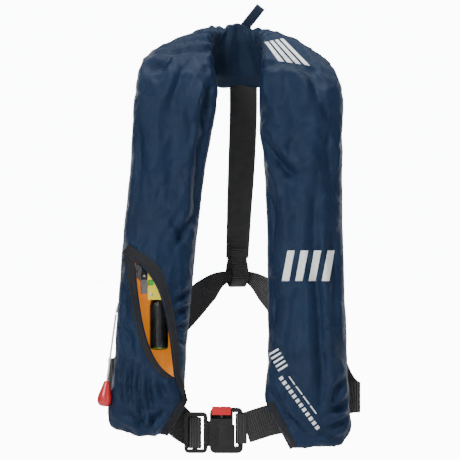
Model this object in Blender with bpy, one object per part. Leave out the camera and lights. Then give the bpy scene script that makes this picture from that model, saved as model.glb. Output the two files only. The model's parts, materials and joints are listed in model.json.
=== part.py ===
"""Inflatable life jacket, hanging as it does from the neck with its waist belt fastened.

Metres, +Z up, the chest faces -Y and the wearer's back +Y. The origin is the point of the collar's
lining where the nape of the neck bears. The cover is a horseshoe: a padded strip that runs up one
chest lobe, over the shoulder, round the neck and down the other lobe. A station of the strip gives
its neck-side edge, its outer edge and how far it bulges, and every soft layer is built from the
same stations.
"""

import math

import bmesh
import bpy
import numpy as np
from mathutils import Matrix, Vector
from mathutils.bvhtree import BVHTree

MM = 0.001

# ---- driving dimensions, in millimetres ----------------------------------------------------------
LOBE_Y = -85.0  # plane through the seams of both chest lobes
COVER_WALL, LINING_WALL = 1.6, 1.0  # cloth with its seam allowance
SEAM_GAP = 2.0  # free space between the two faces along the neck-side edge
LINING_OFFSET = 2.2  # how far the lining's flat middle stands behind its seam, beyond its bulge
BELT_WIDTH = 40.0
BACK_STRAP_WIDTH = 35.0
WEBBING = 1.6  # thickness of the webbing
CYLINDER_RADIUS = 12.0
CYLINDER_AXIS = (-98.8, -90.0)  # X and Y of the gas cylinder's axis
CYLINDER_BOTTOM = -362.5
CORD_RADIUS = 1.3
CORD_EXIT = (-152.5, -86.5, -317.5)  # where the pull cord leaves the cover; it swings about this point
CORD_GAP = 0.9  # lets the hanging cord swing clear of the stub above it
TOGGLE_TOP = (-163.6, -93.5, -401.0)
TOGGLE_LENGTH = 32.0
TOGGLE_RADIUS = 9.0
PULL_TRAVEL = 28.0

# The strip's stations: neck-side edge (x, y, z), outer edge (x, y, z), bulge of the outer face,
# bulge of the lining face, half the gap between the two faces along the outer edge.
Y = LOBE_Y
STATIONS = (
    ((-87, Y, -468), (-138, Y, -466), 7, 8, 1.8),
    ((-78, Y, -449), (-156, Y, -457), 15, 14, 2.2),
    ((-67.5, Y, -428), (-160.5, Y, -438), 19, 18, 2.2),
    ((-65.5, Y, -405), (-158.5, Y, -410), 22, 18, 2.2),
    ((-62.5, Y, -356), (-154, Y, -356), 25, 18, 3.2),
    ((-58, Y, -305), (-150.5, Y, -305), 25.5, 18, 4.6),
    ((-50, Y, -225), (-145, Y, -225), 25, 18, 3.0),
    ((-40, Y, -140), (-136, Y, -140), 24, 18, 2.2),
    ((-30, Y, -80), (-132.5, Y, -82), 23, 18, 2.2),
    ((-26, Y, -42), (-129, Y, -48), 21, 18, 2.2),
    ((-31, -68, -6), (-122, -72, -18), 18, 14, 2.2),
    ((-34, -36, 27), (-108, -38, -4), 14, 10, 2.2),
    ((-24, -8, 36), (-76, 0, -18), 11, 7, 2.2),
    ((-1, 0, 39), (0, 12, -32), 10, 6.0, 2.2),
    ((22, -8, 35), (75, 0, -20), 11, 7, 2.2),
    ((33, -36, 25), (109, -38, -14), 14, 10, 2.2),
    ((30, -68, -8), (123.5, -72, -28), 18, 14, 2.2),
    ((27, Y, -42), (129.5, Y, -50), 21, 18, 2.2),
    ((26.5, Y, -85), (130.5, Y, -85), 23, 18, 2.2),
    ((31, Y, -125), (131, Y, -125), 24, 18, 2.2),
    ((34.5, Y, -205), (132, Y, -205), 25, 18, 2.2),
    ((36, Y, -290), (134.5, Y, -290), 25, 18, 2.2),
    ((36.5, Y, -375), (138, Y, -375), 24, 18, 2.2),
    ((36, Y, -425), (140.5, Y, -428), 21, 18, 2.2),
    ((48, Y, -455), (140, Y, -462), 16, 15, 2.2),
    ((65, Y, -484), (128, Y, -481), 7, 8, 1.8),
)
LEFT_SHOULDER, RIGHT_SHOULDER = 10.2, 15.8  # stations of the two shoulder seams
LAST = len(STATIONS) - 1

# The inspection opening is a leaf: one curve and its half-turn copy, pointed at both ends.
LEAF_TOP, LEAF_BOTTOM = (-129.0, -252.5), (-79.3, -396.0)
LEAF_HANDLES = ((-93.0, -270.0), (-87.0, -326.0))
PANEL_EDGE_OUTER = (-152.0, -236.0)  # the panel edges run on from the leaf's ends to here
PANEL_EDGE_INNER = (-66.5, -430.0)
TAPE_WIDTH = 8.0
TAPE = 1.2


# ---- small helpers -------------------------------------------------------------------------------
def clear_scene():
    for obj in list(bpy.data.objects):
        bpy.data.objects.remove(obj, do_unlink=True)


def material(name, colour, roughness, metallic=0.0):
    made = bpy.data.materials.get(name)
    if made:
        return made
    made = bpy.data.materials.new(name)
    made.use_nodes = True
    shader = made.node_tree.nodes["Principled BSDF"]
    shader.inputs["Base Color"].default_value = (*colour, 1)
    shader.inputs["Roughness"].default_value = roughness
    shader.inputs["Metallic"].default_value = metallic
    return made


def navy():
    return material("navy_nylon", (0.022, 0.045, 0.09), 0.55)


def lining_cloth():
    return material("lining_cloth", (0.01, 0.014, 0.025), 0.8)


def webbing_black():
    return material("black_webbing", (0.012, 0.012, 0.013), 0.8)


def tape_grey():
    return material("binding_tape", (0.035, 0.033, 0.033), 0.85)


def plastic_black():
    return material("black_plastic", (0.014, 0.014, 0.016), 0.42)


def add_object(name, mesh, surface, smooth_angle=35):
    obj = bpy.data.objects.new(name, mesh)
    bpy.context.scene.collection.objects.link(obj)
    mesh.materials.append(surface)
    mesh.shade_smooth()
    mesh.set_sharp_from_angle(angle=math.radians(smooth_angle))
    return obj


def mesh_from(name, points, faces):
    """A mesh from points in millimetres, with its normals facing out."""
    mesh = bpy.data.meshes.new(name)
    mesh.from_pydata([tuple(c * MM for c in p) for p in points], [], faces)
    bm = bmesh.new()
    bm.from_mesh(mesh)
    bmesh.ops.recalc_face_normals(bm, faces=bm.faces)
    bm.to_mesh(mesh)
    bm.free()
    return mesh


def grid_faces(rows, cols, close=False):
    """Quads of a grid of points; close joins the last column to the first and caps both ends."""
    faces = []
    for r in range(rows - 1):
        for c in range(cols if close else cols - 1):
            after = (c + 1) % cols
            faces.append((r * cols + c, r * cols + after, (r + 1) * cols + after, (r + 1) * cols + c))
    if close:
        faces.append(tuple(range(cols))[::-1])
        faces.append(tuple((rows - 1) * cols + c for c in range(cols)))
    return faces


def band_faces(count):
    """Faces of a band with four points to each section: low, low, high, high. Its two broad faces are
    split along matching diagonals, so that they keep their distance where the band twists."""
    faces = [(0, 1, 2, 3), tuple(4 * count - 4 + c for c in range(4))]
    for r in range(0, 4 * (count - 1), 4):
        s = r + 4
        faces += [(r, r + 1, s + 1), (r, s + 1, s), (r + 3, s + 2, r + 2), (r + 3, s + 3, s + 2)]
        faces += [(r + 1, r + 2, s + 2, s + 1), (r + 3, r, s, s + 3)]
    return faces


def helper(obj):
    """A cutter or guide, which is no part of the jacket."""
    obj.hide_render = True
    obj.display_type = "WIRE"
    return obj


def boolean(obj, other, operation="DIFFERENCE"):
    cut = obj.modifiers.new(operation.lower(), "BOOLEAN")
    cut.operation = operation
    cut.object = other
    cut.solver = "EXACT"


def catmull(values, at):
    """A smooth curve through values, one per whole number, read at the number at."""
    values = np.asarray(values, float)
    last = len(values) - 1
    at = min(max(at, 0.0), float(last))
    i = min(int(at), last - 1)
    t = at - i
    before, a, b, after = (values[min(max(k, 0), last)] for k in (i - 1, i, i + 1, i + 2))
    return 0.5 * (
        2 * a + (b - before) * t + (2 * before - 5 * a + 4 * b - after) * t**2
        + (3 * a - before - 3 * b + after) * t**3
    )


def bezier(a, b, c, d, count):
    """Points of a cubic curve from a to d, both ends included."""
    a, b, c, d = (np.array(p, float) for p in (a, b, c, d))
    return [
        (1 - t) ** 3 * a + 3 * (1 - t) ** 2 * t * b + 3 * (1 - t) * t**2 * c + t**3 * d
        for t in np.linspace(0, 1, count)
    ]


# ---- the padded strip ----------------------------------------------------------------------------
NECK_EDGE = [s[0] for s in STATIONS]
OUTER_EDGE = [s[1] for s in STATIONS]
NUMBERS = [s[2:] for s in STATIONS]


def strip_frame(at):
    """Middle, half-width vector, outward normal and (front, back, gap) of the strip at a station."""
    neck, outer = catmull(NECK_EDGE, at), catmull(OUTER_EDGE, at)
    step = 0.05
    ahead = catmull(NECK_EDGE, at + step) + catmull(OUTER_EDGE, at + step)
    behind = catmull(NECK_EDGE, at - step) + catmull(OUTER_EDGE, at - step)
    normal = np.cross(ahead - behind, outer - neck)
    return (neck + outer) / 2, (outer - neck) / 2, normal / np.linalg.norm(normal), catmull(NUMBERS, at)


def crown(across):
    """Height of the padded outer face, 0 at the edges and 1 in the middle."""
    return (1 - abs(across) ** 2.4) ** 0.62


def flat_crown(across):
    """Height of the lining face, which is flat over its middle."""
    flat = 0.62
    if abs(across) <= flat:
        return 1.0
    return math.sqrt(max(0.0, 1 - ((abs(across) - flat) / (1 - flat)) ** 2))


def strip_point(at, across, side):
    """A point of the outer face (side 1) or of the lining face (side -1)."""
    middle, half, normal, (front, back, gap) = strip_frame(at)
    seam = SEAM_GAP / 2
    apart = seam + (gap - seam) * (across + 1) / 2
    if side > 0:
        height = apart + front * crown(across)
    else:
        flat = flat_crown(across)
        height = apart * (1 - flat) + (back + LINING_OFFSET) * flat
    return middle + half * across + normal * side * height


def spread_across(count):
    """Positions across the strip, closer together near its edges."""
    return [math.sin(math.pi / 2 * t) for t in np.linspace(-1, 1, count)]


def strip_shell(name, first, last, rows, cols, side, surface):
    """One panel of the cover: the strip's outer or lining face, as a wall that grows inwards."""
    places = np.linspace(first, last, rows)
    points = [strip_point(at, u, side) for at in places for u in spread_across(cols)]
    mesh = bpy.data.meshes.new(name)
    faces = [face[::-side] for face in grid_faces(rows, cols)]
    mesh.from_pydata([tuple(c * MM for c in p) for p in points], [], faces)
    obj = add_object(name, mesh, surface, 60)
    wall = obj.modifiers.new("wall", "SOLIDIFY")
    wall.thickness = (COVER_WALL if side > 0 else LINING_WALL) * MM
    wall.offset = -1
    return obj


# ---- cover ---------------------------------------------------------------------------------------
def leaf_side():
    """The chest-side curve of the inspection opening, from its top end to its bottom end."""
    return bezier(LEAF_TOP, *LEAF_HANDLES, LEAF_BOTTOM, 13)


def leaf_outer_side():
    """The other curve: the first one turned half a turn about the leaf's middle."""
    centre = (np.array(LEAF_TOP) + np.array(LEAF_BOTTOM)) / 2
    return [2 * centre - p for p in leaf_side()][::-1]


def prism(name, outline, near=-160.0, far=100.0):
    """A cutter: an outline of (x, z) points extruded along Y."""
    count = len(outline)
    points = [(x, near, z) for x, z in outline] + [(x, far, z) for x, z in outline]
    sides = [(i, (i + 1) % count, count + (i + 1) % count, count + i) for i in range(count)]
    faces = sides + [tuple(range(count)), tuple(range(count, 2 * count))]
    obj = bpy.data.objects.new(name, mesh_from(name, points, faces))
    bpy.context.scene.collection.objects.link(obj)
    return helper(obj)


def panel_edges():
    """The bound edges of the two left panels, as (x, z) points from the outer to the neck side."""
    upper = [PANEL_EDGE_OUTER, *leaf_side(), PANEL_EDGE_INNER]
    lower = [PANEL_EDGE_OUTER, *leaf_outer_side(), PANEL_EDGE_INNER]
    return [np.array(p, float) for p in upper], [np.array(p, float) for p in lower]


def run_on(start, through, length):
    """A point further along the line from start through a second point."""
    direction = np.array(through, float) - np.array(start, float)
    return np.array(through, float) + direction / np.linalg.norm(direction) * length


def cover_left():
    """The left lobe's front: an upper and a lower panel that part round the inspection opening. It
    returns the whole front, which the bindings are laid on."""
    upper_edge, lower_edge = panel_edges()
    out = run_on(LEAF_TOP, PANEL_EDGE_OUTER, 70)
    down = run_on(LEAF_BOTTOM, PANEL_EDGE_INNER, 70)
    shift = np.array((-0.7, -0.5))  # keeps the two panels clear of each other past the leaf
    below = prism(
        "cut_below", [out, *upper_edge[1:-1], down, (-40, -560), (-260, -560), (-260, -200)]
    )
    above = prism(
        "cut_above",
        [out + shift, *lower_edge[1:-1], down + shift, (60, -500), (60, 90), (-260, 90)],
    )
    span = (0.0, LEFT_SHOULDER - 0.02)
    upper = strip_shell("cover_left_upper_panel", *span, 19, 11, 1, navy())
    boolean(upper, below)
    lower = strip_shell("cover_left_lower_panel", *span, 19, 11, 1, navy())
    boolean(lower, above)
    return helper(strip_shell("guide_left_front", *span, 19, 11, 1, navy()))


def cover_right_and_collar():
    strip_shell("cover_right_panel", RIGHT_SHOULDER + 0.02, LAST, 19, 11, 1, navy())
    strip_shell("cover_collar_panel", LEFT_SHOULDER, RIGHT_SHOULDER, 17, 9, 1, navy())


def linings():
    strip_shell("lining_left_panel", 0.0, LEFT_SHOULDER - 0.02, 15, 9, -1, lining_cloth())
    strip_shell("lining_right_panel", RIGHT_SHOULDER + 0.02, LAST, 15, 9, -1, lining_cloth())
    strip_shell("lining_collar_panel", LEFT_SHOULDER, RIGHT_SHOULDER, 15, 7, -1, lining_cloth())


def tree_of(obj):
    """A search tree of an object's evaluated mesh, to lay tapes on."""
    bpy.context.view_layer.update()
    return BVHTree.FromObject(obj, bpy.context.evaluated_depsgraph_get())


def surface_y(tree, x, z, fallback):
    """Where a line along +Y first meets the surface, in millimetres."""
    hit = tree.ray_cast(Vector((x * MM, -0.3, z * MM)), Vector((0, 1, 0)))[0]
    return hit.y / MM if hit else fallback


def laid_tape(name, path, tree, inside, outside, surface, lift=2.3):
    """A tape on the cover's face along (x, z) points, from inside to outside of them."""
    points = []
    last_y = LOBE_Y
    for i, here in enumerate(path):
        along = path[min(i + 1, len(path) - 1)] - path[max(i - 1, 0)]
        along = along / np.linalg.norm(along)
        side = np.array((-along[1], along[0]))
        a, b = here + side * inside, here + side * outside
        ya = surface_y(tree, *a, last_y)
        yb = surface_y(tree, *b, ya)
        last_y = yb
        points += [
            (a[0], ya - lift, a[1]), (b[0], yb - lift, b[1]),
            (b[0], yb - lift - TAPE, b[1]), (a[0], ya - lift - TAPE, a[1]),
        ]
    add_object(name, mesh_from(name, points, band_faces(len(path))), surface)


def bindings(front):
    """Tapes on the bound panel edges and on the slanted lower corners."""
    tree = tree_of(front)
    upper_edge, lower_edge = panel_edges()
    start = np.array((-140.5, -245.0))
    laid_tape(
        "binding_upper_panel", [start, *upper_edge[1:-1], np.array((-74.0, -409.0))],
        tree, 0.2, TAPE_WIDTH, tape_grey(),
    )
    laid_tape("binding_lower_panel", lower_edge[2:-3], tree, -TAPE_WIDTH, -0.2, tape_grey())
    corner_tape("binding_corner_left", (-66.0, -429.0), (-86.5, -470.5), -1)
    corner_tape("binding_corner_right", (35.0, -431.5), (64.5, -486.5), 1)


def corner_tape(name, top, bottom, hand):
    """A folded tape that caps the slanted edge of a lobe where the belt leaves it."""
    top, bottom = np.array(top), np.array(bottom)
    along = (bottom - top) / np.linalg.norm(bottom - top)
    out = np.array((along[1], -along[0])) * hand
    near, far = 0.9, 5.0
    profile = ((near, -4.5), (far, -3.0), (far, 3.0), (near, 4.5))
    points = []
    for end in (top, bottom):
        for reach, y in profile:
            x, z = end + out * reach
            points.append((x, LOBE_Y + y, z))
    add_object(name, mesh_from(name, points, band_faces(2)), tape_grey())


# ---- ribbons of webbing --------------------------------------------------------------------------
def smooth_line(knots, samples):
    """A smooth curve through unevenly spaced points, with as many samples to each stretch."""
    steps = [np.linalg.norm(b - a) for a, b in zip(knots, knots[1:])]
    speeds = [(b - a) / d for a, b, d in zip(knots, knots[1:], steps)]
    inner = [
        (v0 * d1 + v1 * d0) / (d0 + d1) for v0, v1, d0, d1 in zip(speeds, speeds[1:], steps, steps[1:])
    ]
    tangents = [speeds[0], *inner, speeds[-1]]
    line = [knots[0]]
    for i, d in enumerate(steps):
        for t in np.linspace(0, 1, samples + 1)[1:]:
            line.append(
                (2 * t**3 - 3 * t**2 + 1) * knots[i] + (t**3 - 2 * t**2 + t) * d * tangents[i]
                + (3 * t**2 - 2 * t**3) * knots[i + 1] + (t**3 - t**2) * d * tangents[i + 1]
            )
    return np.array(line)


def ribbon(name, knots, width, surface, samples=3, thickness=WEBBING):
    """A flat band through knots, each a point and the direction across the band there. The width is one
    number or one per knot."""
    line = smooth_line([np.array(k[0], float) for k in knots], samples)
    acrosses = np.array([np.array(k[1], float) / np.linalg.norm(k[1]) for k in knots])
    widths = np.array(width if isinstance(width, (list, tuple)) else [width] * len(knots), float)
    count = len(line)
    points = []
    for i in range(count):
        along = line[min(i + 1, count - 1)] - line[max(i - 1, 0)]
        along /= np.linalg.norm(along)
        at = i / samples
        ahead = min(int(at) + 1, len(knots) - 1)
        share = at - int(at)
        across = acrosses[int(at)] * (1 - share) + acrosses[ahead] * share
        wide = widths[int(at)] * (1 - share) + widths[ahead] * share
        across -= along * (across @ along)
        across /= np.linalg.norm(across)
        up = np.cross(along, across)
        for w, t in ((-1, -1), (1, -1), (1, 1), (-1, 1)):
            points.append(line[i] + across * w * wide / 2 + up * t * thickness / 2)
    add_object(name, mesh_from(name, points, band_faces(count)), surface)


def round_bar(centre, radius, first, last, steps):
    """Points round a bar along Z, in the XY plane, by angle in degrees."""
    angles = np.radians(np.linspace(first, last, steps))
    return [(centre[0] + radius * math.cos(a), centre[1] + radius * math.sin(a)) for a in angles]


UP, DOWN = (0, 0, 1), (0, 0, -1)


# Side adjusters: middle, direction along the strap and direction across it.
SLIDERS = {
    "left": ((-100.5, -26.6, -345.5), (-0.74, -0.4, -0.6), (0.6, 0, -0.75)),
    "right": ((96.5, -28.2, -349.0), (0.66, -0.38, -0.68), (0.7, 0, 0.7)),
}
SLIDER_LENGTH, SLIDER_BAR, SLIDER_PLATE = 28.0, 4.0, 3.0


def slider_axes(side):
    """Middle, along, normal and across of a side adjuster."""
    middle, along, across = (np.array(v, float) for v in SLIDERS[side])
    along /= np.linalg.norm(along)
    across -= along * (across @ along)
    across /= np.linalg.norm(across)
    return middle, along, np.cross(across, along), across


def slider_turn(side, hand):
    """Knots of a strap's end round an outer bar: towards the bar for hand -1, away from it for 1."""
    middle, along, normal, across = slider_axes(side)
    path = ((-17, 3.2), (-12, 3.2), (-8.9, 2.2), (-8.1, 0), (-8.9, -2.2), (-12, -3.2), (-19, -3.8))
    knots = [(middle - along * hand * x + normal * y, across) for x, y in path]
    return knots if hand < 0 else knots[::-1]


def slider(side):
    """A three-bar adjuster; the straps' ends turn back round its outer bars."""
    middle, along, normal, across = slider_axes(side)
    turn = Matrix([Vector(v) for v in (along, normal, across)]).transposed().to_4x4()
    matrix = Matrix.Translation(Vector(middle) * MM) @ turn
    inner, tall = SLIDER_LENGTH / 2 - SLIDER_BAR, BELT_WIDTH / 2 + 1.5
    slots = [(-inner, -2.5, -tall, tall), (2.5, inner, -tall, tall)]
    size = (SLIDER_LENGTH, SLIDER_PLATE, BELT_WIDTH + 12)
    plate(f"side_slider_{side}", size, slots, matrix, plastic_black())


def back_harness():
    """The strap down the back, the sewn loop at its end and the two straps that pass through it."""
    turned = np.array((math.cos(math.radians(35)), math.sin(math.radians(35)), 0))
    face = np.array((-turned[1], turned[0], 0))
    ribbon(
        "back_strap",
        [
            ((7, 12.8, -34.5), (1, 0, 0)), ((7, 14.2, -58), (1, 0.05, 0)), ((5, 18, -120), (1, 0.2, 0)),
            ((1.5, 22, -190), (0.9, 0.45, 0)), ((-1, 24, -248), turned),
        ],
        BACK_STRAP_WIDTH, webbing_black(),
    )
    fold = (
        (-2.8, -236), (-4.2, -251), (-7.4, -262), (-6.4, -277), (0, -284.5),
        (6.4, -277), (7.4, -262), (4.2, -251), (2.8, -236),
    )
    knots = [(np.array((-1, 24, z)) + face * off, turned) for off, z in fold]
    ribbon("back_strap_loop", knots, 21, webbing_black(), samples=1)
    left = [
        ((-3, 22.6, -269), DOWN), ((-13, 18, -271.5), DOWN), ((-26, 12.5, -277), (0.3, 0, -0.95)),
        ((-40, 6, -289), (0.55, -0.1, -0.8)), ((-60, -4, -309), (0.66, -0.1, -0.74)),
        ((-78, -13.6, -327), (0.6, 0, -0.75)),
    ]
    right = [
        ((1, 25.4, -269), UP), ((12, 30.4, -272), (0.1, 0, 1)), ((24, 23.5, -278), (0.5, 0.3, 0.8)),
        ((38, 10.5, -290), (0.6, 0.2, 0.76)), ((56, -5, -309), (0.66, 0.1, 0.74)),
        ((75, -16.2, -329), (0.7, 0, 0.7)),
    ]
    widths = [12, 14, 22, 32, 37, 38]
    for side, knots in (("left", left), ("right", right)):
        turn = slider_turn(side, -1)
        sizes = widths + [BELT_WIDTH - 2] * len(turn)
        ribbon(f"side_strap_{side}", knots + turn, sizes, webbing_black(), samples=1)


def plate(name, size, slots, matrix, surface, corner=4.0):
    """A rounded plate in its own XZ plane with rectangular slots: a slider or a buckle frame."""
    wide, thick, tall = size
    bm = bmesh.new()
    bmesh.ops.create_cube(bm, size=1)
    bmesh.ops.scale(bm, vec=Vector((wide, thick, tall)) * MM, verts=bm.verts)
    uprights = [e for e in bm.edges if abs(e.verts[0].co.y - e.verts[1].co.y) > thick * MM * 0.5]
    bmesh.ops.bevel(bm, geom=uprights, offset=corner * MM, segments=3, profile=0.5, affect="EDGES")
    mesh = bpy.data.meshes.new(name)
    bm.to_mesh(mesh)
    bm.free()
    obj = add_object(name, mesh, surface)
    obj.matrix_world = matrix
    for i, (x0, x1, z0, z1) in enumerate(slots):
        cut = box(f"cut_{name}_{i}", (x0, -30, z0), (x1, 30, z1))
        cut.matrix_world = matrix @ Matrix.Translation(cut.location)
        boolean(obj, helper(cut))
    return obj


def box(name, low, high, surface=None, bevel=0.0):
    low, high = Vector(low) * MM, Vector(high) * MM
    bm = bmesh.new()
    bmesh.ops.create_cube(bm, size=1)
    bmesh.ops.scale(bm, vec=high - low, verts=bm.verts)
    if bevel:
        bmesh.ops.bevel(bm, geom=list(bm.edges), offset=bevel * MM, segments=2, profile=0.5, affect="EDGES")
    mesh = bpy.data.meshes.new(name)
    bm.to_mesh(mesh)
    bm.free()
    obj = add_object(name, mesh, surface or plastic_black())
    obj.location = (low + high) / 2
    return obj


def turned(name, profile, matrix, surface, steps=20):
    """A solid of revolution: (radius, height) points from bottom to top, about its own Z."""
    points = [(0, 0, profile[0][1])]
    for radius, height in profile:
        for k in range(steps):
            angle = 2 * math.pi * k / steps
            points.append((radius * math.cos(angle), radius * math.sin(angle), height))
    points.append((0, 0, profile[-1][1]))
    faces = []
    rings = len(profile)
    for k in range(steps):
        after = (k + 1) % steps
        faces.append((0, 1 + after, 1 + k))
        faces.append((len(points) - 1, 1 + (rings - 1) * steps + k, 1 + (rings - 1) * steps + after))
        for r in range(rings - 1):
            a = 1 + r * steps
            faces.append((a + k, a + after, a + steps + after, a + steps + k))
    obj = add_object(name, mesh_from(name, points, faces), surface, 40)
    obj.matrix_world = matrix
    return obj


# ---- waist belt and buckle -----------------------------------------------------------------------
def belt_left():
    """From the left adjuster round the wearer's side and through the buckle's male frame."""
    knots = slider_turn("left", 1) + [
        ((-130, -40.5, -378), (0.5, 0, -0.86)), ((-145, -44.2, -389), (0.3, 0, -0.95)),
        ((-155, -46.5, -393), DOWN), ((-161, -49.8, -393), DOWN),
        ((-162.5, -53.4, -393), DOWN), ((-160.5, -57, -393), DOWN),
        ((-154, -59.6, -393), DOWN), ((-146, -60, -394.5), (-0.2, 0, -0.98)),
        ((-136, -60, -401), (-0.4, 0, -0.92)), ((-122, -60, -411), (-0.5, 0, -0.86)),
        ((-100, -58.4, -430), (-0.5, 0, -0.86)), ((-80, -54.2, -448), (-0.5, 0, -0.86)),
        ((-67, -52.8, -460), (-0.3, 0, -0.95)), ((-57, -52.6, -465.4), (-0.1, 0, -1)),
        ((-50.4, -53.5, -467), DOWN), ((-47.2, -56.8, -467), DOWN),
        ((-46.8, -61.5, -467), DOWN), ((-49.4, -65.2, -467), DOWN),
        ((-54, -66, -467), DOWN), ((-58.2, -65.2, -467), DOWN),
        ((-60.3, -61.5, -467), DOWN), ((-60.5, -58.2, -467), DOWN),
        ((-61.9, -56.0, -467), DOWN), ((-66.8, -55.3, -467), DOWN),
    ]
    ribbon("belt_left", knots, BELT_WIDTH - 2, webbing_black(), samples=1)


def belt_right():
    """The right half of the belt: behind the lobe, the free span, and the loop on the buckle."""
    back = slider_turn("right", 1) + [
        ((118, -39.5, -383), (0.7, 0, 0.71)), ((127, -42.5, -403), (0.7, 0, 0.71)),
        ((134, -44.5, -413), (0.6, 0, 0.8)), ((141, -46, -419), (0.4, 0, 0.92)),
        ((148, -47.6, -422), (0.2, 0, 0.98)), ((152.3, -50.8, -422.5), UP),
        ((153.2, -54, -422.5), UP), ((151, -57.4, -422.5), UP),
        ((145, -59.6, -422.5), UP), ((137, -60, -424), (-0.1, 0, 1)),
        ((126, -60, -429), (-0.25, 0, 0.97)),
        ((112, -60, -437), (-0.14, 0, 1)),
        ((80, -60, -444), (-0.14, 0, 1)), ((52, -60, -448.6), (-0.17, 0, 1)),
    ]
    ribbon("belt_right_back", back, BELT_WIDTH - 2, webbing_black(), samples=1)
    span = [
        ((50.6, -60, -448.9), (-0.17, 0, 1)), ((38, -60, -451.8), (-0.17, 0, 1)),
        ((26, -60, -455.5), (-0.16, 0, 1)), ((14.5, -60, -459.2), UP),
    ]
    ribbon("belt_right_span", span, BELT_WIDTH - 2, webbing_black(), samples=1)
    ring = round_bar((2.9, -60.0), 5.3, 40, 320, 9)
    loop = [((10.5, -57.4, -461.5), UP)] + [((x, y, -461.5), UP) for x, y in ring]
    loop.append(((10.5, -62.6, -461.5), UP))
    ribbon("belt_right_loop", loop, BELT_WIDTH - 2, webbing_black(), samples=1)


MALE_X = (-67.5, -38.0)
FEMALE_X = (-35.4, 6.5)
FEMALE_Z = (-492.5, -435.5)
MALE_Z = (-492.5, -441.0)
TONGUE_X, TONGUE_Z = (-39.0, -14.0), (-484.0, -452.0)
BUCKLE_Y = -60.0


def buckle_male():
    """A frame with a bar for the webbing and a tongue that enters the female half."""
    x, z = sum(MALE_X) / 2, sum(MALE_Z) / 2
    matrix = Matrix.Translation(Vector((x, BUCKLE_Y - 0.5, z)) * MM)
    slots = [(x0 - x, x1 - x, -487.5 - z, -446.5 - z) for x0, x1 in ((-62.7, -57.4), (-50.6, -43.4))]
    size = (MALE_X[1] - MALE_X[0], 6.0, MALE_Z[1] - MALE_Z[0])
    frame = plate("buckle_male", size, slots, matrix, plastic_black(), 6.0)
    low = (TONGUE_X[0], BUCKLE_Y - 2, TONGUE_Z[0])
    high = (TONGUE_X[1], BUCKLE_Y + 2, TONGUE_Z[1])
    boolean(frame, helper(box("add_tongue", low, high)), "UNION")


def buckle_female():
    """The housing with the tongue's pocket, the button's well and the bar for the webbing."""
    x, z = sum(FEMALE_X) / 2, sum(FEMALE_Z) / 2
    matrix = Matrix.Translation(Vector((x, BUCKLE_Y, z)) * MM)
    slot = (-6.2 - x, -0.2 - x, -484.0 - z, -441.2 - z)
    size = (FEMALE_X[1] - FEMALE_X[0], 15.0, FEMALE_Z[1] - FEMALE_Z[0])
    body = plate("buckle_female", size, [slot], matrix, plastic_black(), 7.0)
    for cut in (
        box("cut_pocket", (-45, -62.8, -485.0), (-12.5, -57.2, -450.9)),
        box("cut_button_well", (-33.2, -70.0, -449.2), (-8.4, -53.4, -425)),
        box("cut_bar_front", (-0.3, -80, -484.0), (20, -62.6, -441.2)),
        box("cut_bar_back", (-0.3, -57.4, -484.0), (20, -40, -441.2)),
        box("cut_spring_well", (-23.6, -62.8, -452), (-17.6, -57.2, -445)),
    ):
        boolean(body, helper(cut))


def release_button():
    red = material("red_button", (0.62, 0.03, 0.035), 0.38)
    box("release_button", (-32.8, -67.4, -444.6), (-8.8, -53.8, -434.2), red, 1.0)


def button_spring():
    """A short spring under the release button, as a coiled wire."""
    turns, radius, wire = 3, 1.9, 0.35
    low, high = -448.8, -445.1
    curve = bpy.data.curves.new("button_spring", "CURVE")
    curve.dimensions = "3D"
    curve.bevel_depth = wire * MM
    curve.bevel_resolution = 1
    curve.use_fill_caps = True
    steps = 12 * turns
    spline = curve.splines.new("POLY")
    spline.points.add(steps)
    for i in range(steps + 1):
        angle = 2 * math.pi * turns * i / steps
        z = low + wire + (high - low - 2 * wire) * i / steps
        place = (-20.6 + radius * math.cos(angle), -60 + radius * math.sin(angle), z)
        spline.points[i].co = (*(c * MM for c in place), 1)
    obj = bpy.data.objects.new("button_spring", curve)
    bpy.context.scene.collection.objects.link(obj)
    curve.materials.append(material("spring_steel", (0.5, 0.5, 0.52), 0.3, 1.0))


def belt_guide(side, x, z, tilt):
    """A band sewn to the lining, round the belt that it keeps behind the lobe."""
    path = (
        (18.5, -63.1), (-19, -63.1), (-25, -62.4), (-27, -59.6), (-25, -56.6), (0, -55.6),
        (25, -56.6), (27, -59.6), (25, -62.4), (21, -63.1),
    )
    knots = [((x - tilt * up, y, z + up), (1, 0, tilt)) for up, y in path]
    ribbon(f"belt_guide_{side}", knots, 16, webbing_black(), samples=2, thickness=1.2)


# ---- bladder and inflator ------------------------------------------------------------------------
def bladder():
    """The folded bladder: one horseshoe tube inside the cover, thin where the inflator lies on it."""
    places = np.linspace(0.9, LAST - 0.9, 41)
    ring = 12
    points = []
    for at in places:
        middle, half, normal, (front, back, _) = strip_frame(at)
        beside = math.exp(-(((at - 4.75) / 1.75) ** 4))  # the inflator's stretch of the left lobe
        top = (front - 12) * 0.56 * (1 - beside) - 8.6 * beside
        low = -(back - 3.6)
        for k in range(ring):
            angle = 2 * math.pi * k / ring
            across, height = 0.7 * math.cos(angle), math.sin(angle)
            level = (top + low) / 2 + (top - low) / 2 * math.copysign(abs(height) ** 0.6, height)
            points.append(middle + half * across + normal * level)
    mesh = mesh_from("bladder", points, grid_faces(len(places), ring, close=True))
    add_object("bladder", mesh, material("bladder_orange", (0.75, 0.2, 0.02), 0.5), 60)


def vertical(x, y, z):
    return Matrix.Translation(Vector((x, y, z)) * MM)


def facing_front(x, y, z):
    """A frame whose Z axis points to -Y, towards the wearer's front."""
    return Matrix.Translation(Vector((x, y, z)) * MM) @ Matrix.Rotation(math.radians(90), 4, "X")


def steel():
    return material("plated_steel", (0.6, 0.6, 0.62), 0.3, 1.0)


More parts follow.
